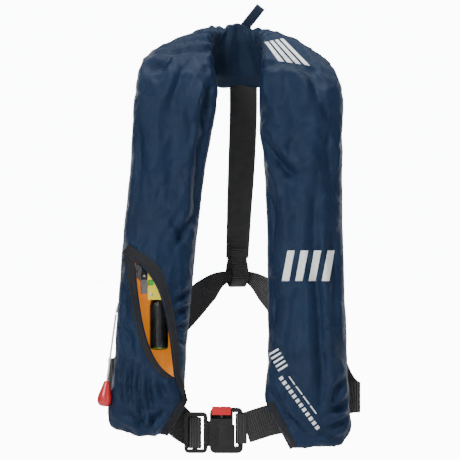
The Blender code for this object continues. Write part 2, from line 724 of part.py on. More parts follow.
def joint_empty(name, place):
    """An empty on a joint's axis, which the pieces that turn there hang on."""
    empty = bpy.data.objects.new(name, None)
    empty.location = Vector(place) * MM
    bpy.context.scene.collection.objects.link(empty)
    return empty


def hang_on(obj, empty):
    obj.parent = empty
    obj.matrix_parent_inverse = Matrix.Translation(empty.location).inverted()


def cut_round(obj, name, radius, low, high, matrix, steps=24):
    """Cuts a round hole from low to high along the matrix's Z axis."""
    boolean(obj, helper(turned(name, [(radius, low), (radius, high)], matrix, steel(), steps)))


def gas_cylinder():
    x, y = CYLINDER_AXIS
    r = CYLINDER_RADIUS
    profile = [
        (3, 0), (r - 4, 0.3), (r - 1.2, 1.6), (r, 4.5), (r, 56), (r - 1.5, 61), (r - 5, 66), (5.2, 69),
        (5.2, 79),
    ]
    paint = material("cylinder_black", (0.02, 0.02, 0.022), 0.25)
    turned("gas_cylinder", profile, vertical(x, y, CYLINDER_BOTTOM), paint, 24)
    seat = vertical(x, y, -285.6)
    rubber = material("seal_rubber", (0.03, 0.03, 0.03), 0.7)
    gasket = turned("cylinder_gasket", [(6.6, 0), (6.6, 1.6)], seat, rubber)
    cut_round(gasket, "cut_gasket", 5.6, -3, 5, seat, 20)
    turned("piercing_pin", [(0.4, 0), (1.4, 3.2), (1.4, 7.4)], vertical(x, y, -280.2), steel(), 10)
    turned("water_sensor_cap", [(8.4, 0), (8.4, 9), (7, 11)], vertical(x, y, -262.4), plastic_black())


LEVER_PIVOT = (-117.0, -90.0, -270.0)
LEVER_HOLE, LEVER_PIN = 1.75, 1.4


def firing_head():
    """The inflator's body over the cylinder's neck, its yellow front cover and the indicator in it."""
    head = box("inflator_body", (-112.4, -101.5, -299.2), (-85.2, -79.5, -263.0), plastic_black(), 2.0)
    cut_round(head, "cut_head_wide", 12.6, -310, -292.6, vertical(*CYLINDER_AXIS, 0))
    cut_round(head, "cut_head_narrow", 6.9, -300, -272.0, vertical(*CYLINDER_AXIS, 0))
    px, py, pz = LEVER_PIVOT
    for side, low, high in (("front", -95.4, -93.2), ("back", -86.8, -84.6)):
        ear = box(f"add_ear_{side}", (px - 4, low, pz - 4.5), (-111.5, high, pz + 4.5))
        boolean(head, helper(ear), "UNION")
    cut_round(head, "cut_pin_hole", LEVER_HOLE, -5, 25, facing_front(*LEVER_PIVOT) @ vertical(0, 0, -10), 16)
    yellow = material("inflator_yellow", (0.83, 0.62, 0.13), 0.4)
    cover = box("inflator_front_cover", (-112.6, -105.4, -299.6), (-85.0, -101.9, -262.6), yellow, 0.8)
    boolean(cover, helper(box("cut_indicator", (-112.0, -110, -281.5), (-105.5, -98, -274.5))))
    green = material("indicator_green", (0.1, 0.55, 0.12), 0.4)
    box("status_indicator", (-111.6, -104.6, -281.1), (-105.9, -102.2, -274.9), green, 0.4)


def firing_lever():
    """The lever that the pull cord turns, on its pin between the head's ears."""
    px, py, pz = LEVER_PIVOT
    low, high = (px - 3.6, -92.8, pz - 3.6), (px + 2.0, -87.2, pz + 17.0)
    lever = box("firing_lever", low, high, plastic_black(), 1.0)
    cut_round(lever, "cut_lever_hole", LEVER_HOLE, -15, 15, facing_front(*LEVER_PIVOT), 16)
    hang_on(lever, joint_empty("lever_axis", LEVER_PIVOT))
    turned("lever_pin", [(LEVER_PIN, -6.2), (LEVER_PIN, 6.2)], facing_front(*LEVER_PIVOT), steel(), 14)


def bladder_fittings():
    """The flange that joins the inflator to the bladder, and a reflective patch on the bladder."""
    flange = [(15, 0), (15, 0.9), (8, 1.3), (8, 2.0)]
    turned("bladder_manifold", flange, facing_front(-98.8, -77.2, -281.0), plastic_black(), 24)
    patch = ((-136, -292), (-115.5, -294), (-115.5, -262), (-133, -256))
    points = [(x, y, z) for y in (-77.9, -77.3) for x, z in patch]
    sides = [(0, 1, 5, 4), (1, 2, 6, 5), (2, 3, 7, 6), (3, 0, 4, 7), (0, 1, 2, 3), (4, 5, 6, 7)]
    mesh = mesh_from("bladder_reflective_patch", points, sides)
    add_object("bladder_reflective_patch", mesh, material("reflective_silver", (0.8, 0.8, 0.8), 0.4))


def cord_tube(name, points):
    curve = bpy.data.curves.new(name, "CURVE")
    curve.dimensions = "3D"
    curve.bevel_depth = CORD_RADIUS * MM
    curve.bevel_resolution = 2
    curve.use_fill_caps = True
    spline = curve.splines.new("POLY")
    spline.points.add(len(points) - 1)
    for target, place in zip(spline.points, points):
        target.co = (*(c * MM for c in place), 1)
    obj = bpy.data.objects.new(name, curve)
    bpy.context.scene.collection.objects.link(obj)
    curve.materials.append(material("cord_white", (0.8, 0.79, 0.77), 0.7))
    return obj


def pull_cord():
    """The cord's stub in the cover's edge, the cord that hangs from it, and the toggle on its end."""
    start, top = np.array(CORD_EXIT), np.array(TOGGLE_TOP)
    length = np.linalg.norm(top - start)
    down = (top - start) / length
    stub = np.linspace(-PULL_TRAVEL - 1, -0.4, 5)
    cord_tube("pull_cord_upper", [start + down * t for t in stub])
    cord = cord_tube("pull_cord", [start + down * t for t in np.linspace(CORD_GAP, length + 9.0, 9)])
    rotation = Vector((0, 0, 1)).rotation_difference(Vector(-down)).to_matrix().to_4x4()
    matrix = Matrix.Translation(Vector(top + down * TOGGLE_LENGTH) * MM) @ rotation
    r, n = TOGGLE_RADIUS, TOGGLE_LENGTH
    profile = [
        (r * 0.45, 0), (r * 0.8, 0.8), (r * 0.97, 3.5), (r, 7), (r * 0.93, 13), (r * 0.6, n - 6),
        (r * 0.47, n - 1.2), (r * 0.38, n),
    ]
    toggle = turned("pull_toggle", profile, matrix, material("toggle_red", (0.62, 0.015, 0.02), 0.3))
    cut_round(toggle, "cut_toggle_bore", CORD_RADIUS + 0.4, n - 10, n + 5, matrix, 16)
    swing = joint_empty("toggle_swing_axis", CORD_EXIT)
    hang_on(cord, swing)
    hang_on(toggle, swing)


def oral_inflation():
    """The tube for topping up by mouth, its valve and cap, and the whistle beside it."""
    x, y = 74.0, -99.6
    rubber = material("tube_rubber", (0.02, 0.02, 0.022), 0.6)
    turned("oral_tube", [(5.5, 0), (5.5, 148)], vertical(x, y, -300), rubber, 18)
    valve = [(6.6, 0), (7, 1.5), (7, 14), (6.4, 16), (5.0, 17), (5.0, 22)]
    turned("oral_valve", valve, vertical(x, y, -151.6), plastic_black())
    seat = vertical(x, y, -134.0)
    red = material("cap_red", (0.6, 0.03, 0.03), 0.4)
    cap = turned("oral_valve_cap", [(6.8, 0), (6.8, 9.4), (6, 11)], seat, red)
    cut_round(cap, "cut_cap", 5.4, -3, 7.0, seat, 20)
    orange = material("whistle_orange", (0.8, 0.25, 0.02), 0.4)
    whistle = box("whistle", (84, -105, -250), (96, -94, -205), orange, 2.0)
    boolean(whistle, helper(box("cut_whistle", (86.5, -102.5, -240), (93.5, -96.5, -190))))


def hang_loop():
    """A folded tape at the back of the neck, leaning to the wearer's left."""
    lean = Vector((0.62, 0.0, 0.78)).normalized()
    across = (0.78, 0.0, -0.62)
    base = Vector((6.0, 3.0, 41.5))
    path = (
        (0, 0), (10, -3.6), (24, -5), (33, -4), (37, 0.8), (33, 5.6), (24, 6.6), (10, 5.4), (0, 3.2),
    )
    knots = []
    for along, y in path:
        place = base + lean * along
        knots.append(((place.x, base.y + y, place.z), across))
    ribbon("hang_loop", knots, 12.5, navy(), samples=2, thickness=1.3)


def closure_tape(name, sign, places):
    """A tape just inside the outer edge, on one face of the gap between front and lining."""
    points = []
    for at in places:
        middle, half, normal, _ = strip_frame(at)
        unit = half / np.linalg.norm(half)
        for inwards, height in ((1.5, 0.25), (11.5, 0.25), (11.5, 1.2), (1.5, 1.2)):
            points.append(middle + half - unit * inwards + normal * sign * height)
    mesh = mesh_from(name, points, band_faces(len(places)))
    add_object(name, mesh, material("closure_black", (0.02, 0.02, 0.02), 0.9))


def closure_tapes():
    """Hook and loop tapes along the outer edges, which burst open when the bladder fills."""
    for side, first, last in (("left", 6.3, 8.6), ("right", 18.3, 22.8)):
        places = np.linspace(first, last, 9)
        closure_tape(f"closure_hook_{side}", 1, places)
        closure_tape(f"closure_loop_{side}", -1, places)


def main():
    clear_scene()
    front = cover_left()
    cover_right_and_collar()
    linings()
    bindings(front)
    back_harness()
    slider("left")
    slider("right")
    belt_left()
    belt_right()
    buckle_male()
    buckle_female()
    release_button()
    button_spring()
    belt_guide("left", -116, -418.4, -0.53)
    belt_guide("right", 98, -441, 0.12)
    bladder()
    gas_cylinder()
    firing_head()
    firing_lever()
    bladder_fittings()
    pull_cord()
    oral_inflation()
    hang_loop()
    closure_tapes()


main()
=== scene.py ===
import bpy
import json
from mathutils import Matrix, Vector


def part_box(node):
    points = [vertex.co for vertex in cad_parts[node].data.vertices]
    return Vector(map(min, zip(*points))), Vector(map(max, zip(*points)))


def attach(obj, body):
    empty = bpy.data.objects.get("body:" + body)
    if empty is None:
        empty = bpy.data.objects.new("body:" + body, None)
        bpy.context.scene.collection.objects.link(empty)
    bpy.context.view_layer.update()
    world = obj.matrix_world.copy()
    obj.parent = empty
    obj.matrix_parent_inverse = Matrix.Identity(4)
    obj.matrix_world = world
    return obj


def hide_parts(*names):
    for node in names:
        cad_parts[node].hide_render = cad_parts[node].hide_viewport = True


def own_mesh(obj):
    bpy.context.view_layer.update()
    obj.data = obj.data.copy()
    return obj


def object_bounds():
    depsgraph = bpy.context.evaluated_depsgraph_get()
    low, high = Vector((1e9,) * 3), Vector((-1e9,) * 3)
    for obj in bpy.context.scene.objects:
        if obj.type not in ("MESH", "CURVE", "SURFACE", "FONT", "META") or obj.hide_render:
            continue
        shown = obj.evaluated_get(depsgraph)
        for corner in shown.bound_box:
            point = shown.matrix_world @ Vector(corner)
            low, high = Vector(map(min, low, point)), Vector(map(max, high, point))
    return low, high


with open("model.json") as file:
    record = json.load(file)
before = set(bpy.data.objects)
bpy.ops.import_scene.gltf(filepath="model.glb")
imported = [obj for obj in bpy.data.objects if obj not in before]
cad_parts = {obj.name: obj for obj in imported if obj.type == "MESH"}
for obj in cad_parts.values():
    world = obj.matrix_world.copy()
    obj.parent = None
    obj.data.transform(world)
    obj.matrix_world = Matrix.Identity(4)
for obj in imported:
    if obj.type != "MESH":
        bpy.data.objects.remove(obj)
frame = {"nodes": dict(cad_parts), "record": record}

"""The looks of the inflatable life jacket: woven covers, webbing, buckle, inflator and studio.

Metres, +Z up, the chest faces -Y. Soft shapes are worked out in millimetres, as in the frame's own
part, and scaled by MM when their meshes are made.
"""

import json
import math

import bmesh
import bpy
import numpy as np
from mathutils import Matrix, Vector, noise
from mathutils.bvhtree import BVHTree

MM = 0.001
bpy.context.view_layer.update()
UP, DOWN = (0, 0, 1), (0, 0, -1)
LOBE_Y = -85.0  # plane through the lobes' seams
BELT_WIDTH = 39.0
WEBBING = 1.5


# ---- camera, light and studio --------------------------------------------------------------------
IMAGE_HEIGHT = 0.575  # how much of the lobes' plane the picture shows
CAMERA_DISTANCE = 6.0
AIM = Vector((-0.010, LOBE_Y * MM, -0.2125))
BACKDROP_GLOW = 12.0
SKY_LIGHT = 0.2


def make_camera():
    data = bpy.data.cameras.new("camera")
    camera = bpy.data.objects.new("camera", data)
    bpy.context.scene.collection.objects.link(camera)
    camera.location = AIM - Vector((0, CAMERA_DISTANCE, 0))
    camera.rotation_euler = (math.pi / 2, 0, 0)
    data.lens = data.sensor_width * CAMERA_DISTANCE / IMAGE_HEIGHT
    bpy.context.scene.camera = camera


def area_light(name, place, aim, size, power):
    data = bpy.data.lights.new(name, "AREA")
    data.shape = "RECTANGLE"
    data.size, data.size_y = size
    data.energy = power
    light = bpy.data.objects.new(name, data)
    bpy.context.scene.collection.objects.link(light)
    light.location = place
    light.rotation_euler = (Vector(aim) - Vector(place)).to_track_quat("-Z", "Y").to_euler()


def white_to_camera(tree, dim):
    """A strength that looks white in the picture but lights the jacket only dimly."""
    seen = add_node(tree, "ShaderNodeLightPath").outputs["Is Camera Ray"]
    return plus(tree, dim, seen, BACKDROP_GLOW - dim)


def make_studio():
    """A pale floor far below the hanging jacket, a pale sky and soft lights."""
    world = bpy.data.worlds.new("studio")
    bpy.context.scene.world = world
    world.use_nodes = True
    sky = world.node_tree.nodes["Background"]
    sky.inputs["Color"].default_value = (0.95, 0.97, 1.0, 1)
    world.node_tree.links.new(white_to_camera(world.node_tree, SKY_LIGHT), sky.inputs["Strength"])
    reach, z = 40.0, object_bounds()[0][2] - 0.25
    mesh = bpy.data.meshes.new("studio_floor")
    corners = ((-reach, -reach, z), (reach, -reach, z), (reach, reach, z), (-reach, reach, z))
    mesh.from_pydata(corners, [], [(0, 1, 2, 3)])
    paper, tree, shader = new_material(
        "studio_paper", Base_Color=(0.9, 0.9, 0.9, 1), Roughness=0.95, Specular_IOR_Level=0.1,
        Emission_Color=(1, 1, 1, 1),
    )
    tree.links.new(white_to_camera(tree, 0.0), shader.inputs["Emission Strength"])
    show("studio_floor", mesh, paper)
    for name, place, aim, size, power in (
        ("key", (-1.3, -2.0, 1.5), (0, 0, -0.12), (0.8, 1.0), 62),
        ("fill", (1.9, -1.7, 0.2), (0, 0, -0.2), (0.9, 1.8), 12),
        ("top", (0.25, 0.1, 1.9), (0, -0.05, 0), (1.4, 0.8), 34),
        ("streak", (-0.42, -1.9, -0.1), (-0.1, -0.1, -0.3), (0.07, 0.9), 3.0),
        ("rear_left", (-1.6, 2.2, 0.9), (0, 0, -0.15), (1.0, 1.4), 26),
        ("rear_right", (1.8, 1.9, 0.4), (0, 0, -0.2), (1.0, 1.4), 18),
    ):
        area_light(name, place, aim, size, power)


# ---- materials -----------------------------------------------------------------------------------
def new_material(name, **numbers):
    """A Principled material; numbers are its sockets by name, with _ for a space."""
    made = bpy.data.materials.new(name)
    made.use_nodes = True
    shader = made.node_tree.nodes["Principled BSDF"]
    for key, value in numbers.items():
        shader.inputs[key.replace("_", " ")].default_value = value
    return made, made.node_tree, shader


def add_node(tree, kind, **settings):
    node = tree.nodes.new(kind)
    for key, value in settings.items():
        setattr(node, key, value)
    return node


def math_node(tree, operation, a, b=None):
    node = add_node(tree, "ShaderNodeMath", operation=operation)
    for socket, value in zip(node.inputs, (a, b)):
        if isinstance(value, (int, float)):
            socket.default_value = value
        elif value is not None:
            tree.links.new(value, socket)
    return node.outputs[0]


def times(tree, value, factor):
    return math_node(tree, "MULTIPLY", value, factor)


def plus(tree, a, b, share=1.0):
    """The value a and a share of b."""
    return math_node(tree, "ADD", a, times(tree, b, share))


def object_place(tree):
    return add_node(tree, "ShaderNodeTexCoord").outputs["Object"]


def noise_value(tree, vector, scale, detail=3.0, roughness=0.5):
    node = add_node(tree, "ShaderNodeTexNoise")
    for socket, value in (("Scale", scale), ("Detail", detail), ("Roughness", roughness)):
        node.inputs[socket].default_value = value
    tree.links.new(vector, node.inputs["Vector"])
    return node.outputs["Fac"]


def two_colours(tree, value, dark, light, low=0.3, high=0.7):
    ramp = add_node(tree, "ShaderNodeValToRGB")
    first, last = ramp.color_ramp.elements
    first.position, last.position = low, high
    first.color, last.color = (*dark, 1), (*light, 1)
    tree.links.new(value, ramp.inputs[0])
    return ramp.outputs[0]


def paint(tree, shader, value, dark, light, low=0.3, high=0.7):
    """Base colour from dark to light as the value goes from low to high."""
    tree.links.new(two_colours(tree, value, dark, light, low, high), shader.inputs["Base Color"])


def set_bump(tree, shader, height, strength, distance):
    bump = add_node(tree, "ShaderNodeBump")
    bump.inputs["Strength"].default_value = strength
    bump.inputs["Distance"].default_value = distance
    tree.links.new(height, bump.inputs["Height"])
    tree.links.new(bump.outputs[0], shader.inputs["Normal"])


def split_vector(tree, vector):
    node = add_node(tree, "ShaderNodeSeparateXYZ")
    tree.links.new(vector, node.inputs[0])
    return node.outputs


def cloth_coordinates(tree):
    """The mesh's own UV, in metres along and across the cloth, as separate values and as a vector."""
    uv = add_node(tree, "ShaderNodeUVMap", uv_map="cloth").outputs[0]
    parts = split_vector(tree, uv)
    return parts["X"], parts["Y"], uv


def wave(tree, value, pitch):
    """A ripple from -1 to 1 with that pitch in metres."""
    return math_node(tree, "SINE", times(tree, value, 2 * math.pi / pitch))


def woven_nylon(name, dark, light, roughness, weave=0.0007, sheen=0.25, puckers=0.5):
    """Tight plain weave with faint streaks along the yarns and a soft, uneven sheen."""
    made, tree, shader = new_material(
        name, Sheen_Weight=sheen, Sheen_Roughness=0.35, Sheen_Tint=(0.6, 0.72, 0.9, 1),
        Specular_IOR_Level=0.34, Specular_Tint=(0.62, 0.78, 1.0, 1),
    )
    along, across, uv = cloth_coordinates(tree)
    place = object_place(tree)
    blotches = noise_value(tree, place, 18, 4, 0.6)
    streak = add_node(tree, "ShaderNodeMapping")
    streak.inputs["Scale"].default_value = (60, 900, 1)
    tree.links.new(uv, streak.inputs["Vector"])
    yarns = noise_value(tree, streak.outputs[0], 1.0, 2)
    paint(tree, shader, plus(tree, times(tree, blotches, 0.7), yarns, 0.3), dark, light, 0.36, 0.66)
    tree.links.new(plus(tree, roughness - 0.06, blotches, 0.12), shader.inputs["Roughness"])
    threads = times(tree, wave(tree, along, weave), wave(tree, across, weave))
    creases = noise_value(tree, place, 46, 5, 0.62)
    set_bump(tree, shader, plus(tree, times(tree, threads, 0.12), creases, puckers), 0.55, 0.0011)
    return made


def ribbed_webbing(name, dark, light, pitch=0.0014, half_width=0.0195):
    """Ribs across the strap, a finer weave in them, and a tighter, darker selvedge at both edges."""
    made, tree, shader = new_material(
        name, Sheen_Weight=0.3, Sheen_Roughness=0.6, Specular_IOR_Level=0.3, Roughness=0.72,
    )
    along, across, _ = cloth_coordinates(tree)
    ribs = wave(tree, along, pitch)
    threads = wave(tree, across, 0.0011)
    edge = math_node(tree, "GREATER_THAN", math_node(tree, "ABSOLUTE", across), half_width - 0.0022)
    fuzz = noise_value(tree, object_place(tree), 260, 3)
    paint(tree, shader, plus(tree, plus(tree, fuzz, ribs, 0.3), edge, -0.18), dark, light, 0.3, 0.8)
    set_bump(tree, shader, plus(tree, ribs, times(tree, threads, ribs), 0.5), 0.9, 0.0009)
    return made


def moulded(name, dark, light, roughness, grain=900, bump=0.12, **more):
    """Moulded plastic: fine spark-eroded grain, faint scuffs and a slight change of tone."""
    made, tree, shader = new_material(name, **more)
    place = object_place(tree)
    cloudy = noise_value(tree, place, 40, 4, 0.6)
    paint(tree, shader, cloudy, dark, light)
    tree.links.new(plus(tree, roughness - 0.08, cloudy, 0.16), shader.inputs["Roughness"])
    set_bump(tree, shader, noise_value(tree, place, grain, 2), bump, 0.0003)
    return made


def coated_orange():
    """The bladder's coated orange cloth: saturated orange with a fine weave under a soft gloss, and an
    emission that is a painted glow lifting it out of the shade inside the opening.
    """
    made, tree, shader = new_material(
        "bladder_cloth", Specular_IOR_Level=0.4, Subsurface_Weight=0.2, Subsurface_Scale=0.006,
        # The emission is painted light: an orange glow standing in for light that the shaded bladder lacks.
        Emission_Color=(1.0, 0.3, 0.015, 1), Emission_Strength=0.55, Roughness=0.44,
    )
    place = object_place(tree)
    cloudy = noise_value(tree, place, 34, 4, 0.6)
    fine = noise_value(tree, place, 1300, 1)
    paint(tree, shader, cloudy, (0.8, 0.1, 0.004), (1.0, 0.4, 0.03))
    set_bump(tree, shader, plus(tree, times(tree, cloudy, 2.0), fine, 0.15), 0.5, 0.0015)
    return made


def braided_cord():
    made, tree, shader = new_material(
        "cord_white", Specular_IOR_Level=0.3, Sheen_Weight=0.2, Roughness=0.6,
    )
    place = split_vector(tree, object_place(tree))
    pitch, lean = 0.0021, 1.3
    twists = [wave(tree, plus(tree, place["Z"], place["X"], turn), pitch) for turn in (lean, -lean)]
    braid = times(tree, *twists)
    paint(tree, shader, braid, (0.8, 0.79, 0.78), (1.0, 1.0, 1.0), 0.0, 0.6)
    set_bump(tree, shader, braid, 0.35, 0.0004)
    return made


def reflective_print():
    """White retro-reflective transfer: a pearly sheet with a faint honeycomb of beads."""
    made, tree, shader = new_material(
        "reflective_print", Specular_IOR_Level=0.5, Coat_Weight=0.25, Coat_Roughness=0.3, Roughness=0.42,
    )
    place = object_place(tree)
    cells = add_node(tree, "ShaderNodeTexVoronoi")
    cells.inputs["Scale"].default_value = 700
    tree.links.new(place, cells.inputs["Vector"])
    beads = cells.outputs["Distance"]
    tone = plus(tree, times(tree, beads, 0.4), noise_value(tree, place, 60, 3), 0.6)
    paint(tree, shader, tone, (0.9, 0.91, 0.93), (1.0, 1.0, 1.0))
    set_bump(tree, shader, beads, 0.15, 0.0002)
    return made


def steel():
    made, tree, shader = new_material("steel", Metallic=1.0, Roughness=0.3)
    cloudy = noise_value(tree, object_place(tree), 300, 3)
    paint(tree, shader, cloudy, (0.45, 0.45, 0.47), (0.68, 0.68, 0.7))
    set_bump(tree, shader, cloudy, 0.1, 0.0002)
    return made


def painted_cylinder():
    """Gloss black paint with faint orange peel and a thin green band near the foot."""
    made, tree, shader = new_material("cylinder_paint", Coat_Weight=1.0, Coat_Roughness=0.05, Roughness=0.2)
    place = object_place(tree)
    height = split_vector(tree, place)["Z"]
    cloudy = noise_value(tree, place, 90, 3)
    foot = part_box("gas_cylinder")[0][2]
    above = math_node(tree, "GREATER_THAN", height, foot + 0.0018)
    below = math_node(tree, "LESS_THAN", height, foot + 0.0032)
    mix = add_node(tree, "ShaderNodeMix", data_type="RGBA")
    tree.links.new(times(tree, above, below), mix.inputs["Factor"])
    tree.links.new(two_colours(tree, cloudy, (0.008, 0.008, 0.009), (0.02, 0.02, 0.022)), mix.inputs["A"])
    mix.inputs["B"].default_value = (0.12, 0.3, 0.02, 1)
    tree.links.new(mix.outputs["Result"], shader.inputs["Base Color"])
    set_bump(tree, shader, cloudy, 0.08, 0.0003)
    return made


def make_materials():
    """Every finish, by the record's slot name or by its own."""
    woven = {
        "cover_cloth": ((0.0025, 0.011, 0.036), (0.0055, 0.02, 0.056), 0.37, 0.0007, 0.04, 0.24),
        "lining_cloth": ((0.002, 0.008, 0.026), (0.006, 0.019, 0.052), 0.45, 0.0011, 0.08, 0.5),
        "loop_tape": ((0.004, 0.009, 0.022), (0.01, 0.018, 0.04), 0.6, 0.0011, 0.2, 0.2),
        "binding_tape": ((0.0125, 0.0108, 0.0108), (0.024, 0.021, 0.021), 0.75, 0.0012, 0.1, 0.25),
        "closure_tape": ((0.008, 0.008, 0.008), (0.02, 0.02, 0.02), 0.9, 0.0015, 0.4, 0.8),
    }
    ribbed = {
        "webbing": ((0.002, 0.0018, 0.0019), (0.018, 0.0155, 0.0155), 0.0028),
        "webbing_flat": ((0.0022, 0.002, 0.0021), (0.0105, 0.0092, 0.0095), 0.0014),
    }
    plastics = {
        "thread": ((0.03, 0.03, 0.032), (0.07, 0.07, 0.072), 0.7, {}),
        "black_plastic": ((0.006, 0.0055, 0.006), (0.013, 0.012, 0.0125), 0.4, {"Specular_IOR_Level": 0.4}),
        "red_plastic": ((0.62, 0.008, 0.014), (0.78, 0.015, 0.024), 0.36, {"Specular_IOR_Level": 0.5}),
        "toggle_plastic": (
            (0.56, 0.012, 0.018), (0.68, 0.03, 0.032), 0.34,
            {"bump": 0.04, "Coat_Weight": 0.35, "Coat_Roughness": 0.22},
        ),
        "yellow_plastic": ((0.9, 0.72, 0.012), (1.0, 0.86, 0.04), 0.36, {"bump": 0.05}),
        "green_plastic": ((0.02, 0.36, 0.03), (0.06, 0.52, 0.05), 0.34, {"bump": 0.05}),
        "orange_plastic": ((0.72, 0.18, 0.015), (0.85, 0.27, 0.03), 0.34, {"bump": 0.05}),
        "seal_rubber": ((0.016, 0.016, 0.017), (0.03, 0.03, 0.031), 0.62, {"grain": 500, "bump": 0.2}),
    }
    finishes = {name: woven_nylon(name, *look) for name, look in woven.items()}
    finishes |= {name: ribbed_webbing(name, *look) for name, look in ribbed.items()}
    finishes |= {name: moulded(name, *look, **more) for name, (*look, more) in plastics.items()}
    finishes |= {"bladder_cloth": coated_orange(), "reflective": reflective_print(), "steel": steel()}
    return finishes | {"cylinder_paint": painted_cylinder(), "cord_white": braided_cord()}


def finish_cad_nodes(finishes):
    """Each CAD node that stays gets its slot's finish."""
    slots = {s["node"]: s["material_slot"] for s in frame["record"]["subparts"]}
    for node, obj in frame["nodes"].items():
        obj.data.materials.clear()
        obj.data.materials.append(finishes[slots[node]])


def soften(node, width, segments=3, angle=38):
    """Rounds the edges of a CAD node's picture; the solid itself stays as it is."""
    obj = frame["nodes"][node]
    edges = obj.modifiers.new("soft_edges", "BEVEL")
    edges.width = width * MM
    edges.segments = segments
    edges.limit_method = "ANGLE"
    edges.angle_limit = math.radians(angle)
    edges.harden_normals = True


# ---- meshes --------------------------------------------------------------------------------------
def show(name, mesh, surface=None):
    """Puts a mesh into the scene under that name."""
    if surface:
        mesh.materials.append(surface)
    obj = bpy.data.objects.new(name, mesh)
    bpy.context.scene.collection.objects.link(obj)
    return obj


def object_from(name, points, faces, surface=None, uv=None, smooth=60):
    """A mesh object from points in millimetres; uv gives each point its place on the cloth, in metres."""
    mesh = bpy.data.meshes.new(name)
    mesh.from_pydata([tuple(float(c) * MM for c in p) for p in points], [], faces)
    if uv is not None:
        layer = mesh.uv_layers.new(name="cloth")
        for loop in mesh.loops:
            layer.data[loop.index].uv = uv[loop.vertex_index]
    mesh.shade_smooth()
    mesh.set_sharp_from_angle(angle=math.radians(smooth))
    return show(name, mesh, surface)


def face_outwards(obj):
    bm = bmesh.new()
    bm.from_mesh(obj.data)
    bmesh.ops.recalc_face_normals(bm, faces=bm.faces)
    bm.to_mesh(obj.data)
    bm.free()
    return obj


def ring_faces(rows, ring, base=0):
    """The faces of a closed tube of equal rings of points, with both of its ends."""
    first, last = range(base, base + ring), range(base + (rows - 1) * ring, base + rows * ring)
    faces = [tuple(first)[::-1], tuple(last)]
    for r in range(rows - 1):
        for c in range(ring):
            here, after = base + r * ring + c, base + r * ring + (c + 1) % ring
            faces.append((here, after, after + ring, here + ring))
    return faces


def belongs(obj, body, slot, *nodes):
    """Says which body a piece rides on and hides the CAD nodes that it stands for; slot is not used."""
    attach(obj, body)
    if nodes:
        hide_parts(*nodes)


def apply_modifiers(obj):
    """Leaves the mesh as its modifiers make it, with none left on the object."""
    bpy.context.view_layer.update()
    made = bpy.data.meshes.new_from_object(obj.evaluated_get(bpy.context.evaluated_depsgraph_get()))
    obj.modifiers.clear()
    obj.data = made


def catmull(values, at):
    """A smooth curve through values, one per whole number, read at the number at."""
    values = np.asarray(values, float)
    last = len(values) - 1
    at = min(max(at, 0.0), float(last))
    i = min(int(at), last - 1)
    t = at - i
    before, a, b, after = (values[min(max(k, 0), last)] for k in (i - 1, i, i + 1, i + 2))
    return 0.5 * (
        2 * a + (b - before) * t + (2 * before - 5 * a + 4 * b - after) * t**2
        + (3 * a - before - 3 * b + after) * t**3
    )


def unit(vector):
    return np.asarray(vector, float) / np.linalg.norm(vector)


def heading(line, i):
    """The direction of a line of points at its point i."""
    return unit(line[min(i + 1, len(line) - 1)] - line[max(i - 1, 0)])


def run_lengths(line):
    """How far along a line of points each of them lies."""
    return np.concatenate([[0], np.cumsum(np.linalg.norm(np.diff(line, axis=0), axis=1))])


def bezier(a, b, c, d, count):
    a, b, c, d = (np.array(p, float) for p in (a, b, c, d))
    return [
        (1 - t) ** 3 * a + 3 * (1 - t) ** 2 * t * b + 3 * (1 - t) * t**2 * c + t**3 * d
        for t in np.linspace(0, 1, count)
    ]


# ---- the padded strip ----------------------------------------------------------------------------
# Stations of the horseshoe: neck-side edge, outer edge, bulge of the front, bulge of the lining and
# half the gap between the two along the outer edge.
Y = LOBE_Y
STATIONS = (
    ((-87, Y, -468), (-138, Y, -466), 7, 8, 1.8),
    ((-78, Y, -449), (-156, Y, -457), 15, 14, 2.2),
    ((-67.5, Y, -428), (-160.5, Y, -438), 19, 18, 2.2),
    ((-65.5, Y, -405), (-158.5, Y, -410), 22, 18, 2.2),
    ((-62.5, Y, -356), (-154, Y, -356), 25, 18, 3.2),
    ((-58, Y, -305), (-150.5, Y, -305), 25.5, 18, 4.6),
    ((-50, Y, -225), (-145, Y, -225), 25, 18, 3.0),
    ((-40, Y, -140), (-136, Y, -140), 24, 18, 2.2),
    ((-30, Y, -80), (-132.5, Y, -82), 23, 18, 2.2),
    ((-26, Y, -42), (-129, Y, -48), 21, 18, 2.2),
    ((-31, -68, -6), (-122, -72, -18), 18, 14, 2.2),
    ((-34, -36, 27), (-108, -38, -4), 14, 10, 2.2),
    ((-24, -8, 36), (-76, 0, -18), 11, 7, 2.2),
    ((-1, 0, 39), (0, 12, -32), 10, 6.0, 2.2),
    ((22, -8, 35), (75, 0, -20), 11, 7, 2.2),
    ((33, -36, 25), (109, -38, -14), 14, 10, 2.2),
    ((30, -68, -8), (123.5, -72, -28), 18, 14, 2.2),
    ((27, Y, -42), (129.5, Y, -50), 21, 18, 2.2),
    ((26.5, Y, -85), (130.5, Y, -85), 23, 18, 2.2),
    ((31, Y, -125), (131, Y, -125), 24, 18, 2.2),
    ((34.5, Y, -205), (132, Y, -205), 25, 18, 2.2),
    ((36, Y, -290), (134.5, Y, -290), 25, 18, 2.2),
    ((36.5, Y, -375), (138, Y, -375), 24, 18, 2.2),
    ((36, Y, -425), (140.5, Y, -428), 21, 18, 2.2),
    ((48, Y, -455), (140, Y, -462), 16, 15, 2.2),
    ((65, Y, -484), (128, Y, -481), 7, 8, 1.8),
)
LAST = len(STATIONS) - 1
NECK_EDGE = [s[0] for s in STATIONS]
OUTER_EDGE = [s[1] for s in STATIONS]
NUMBERS = [s[2:] for s in STATIONS]
LINING_OFFSET = 2.2
SPARE_WIDTH = 1.05  # the cloth pulls in by as much when it is blown up
NECK_RISE = 6.0  # how far the collar's gathers stand above its seam


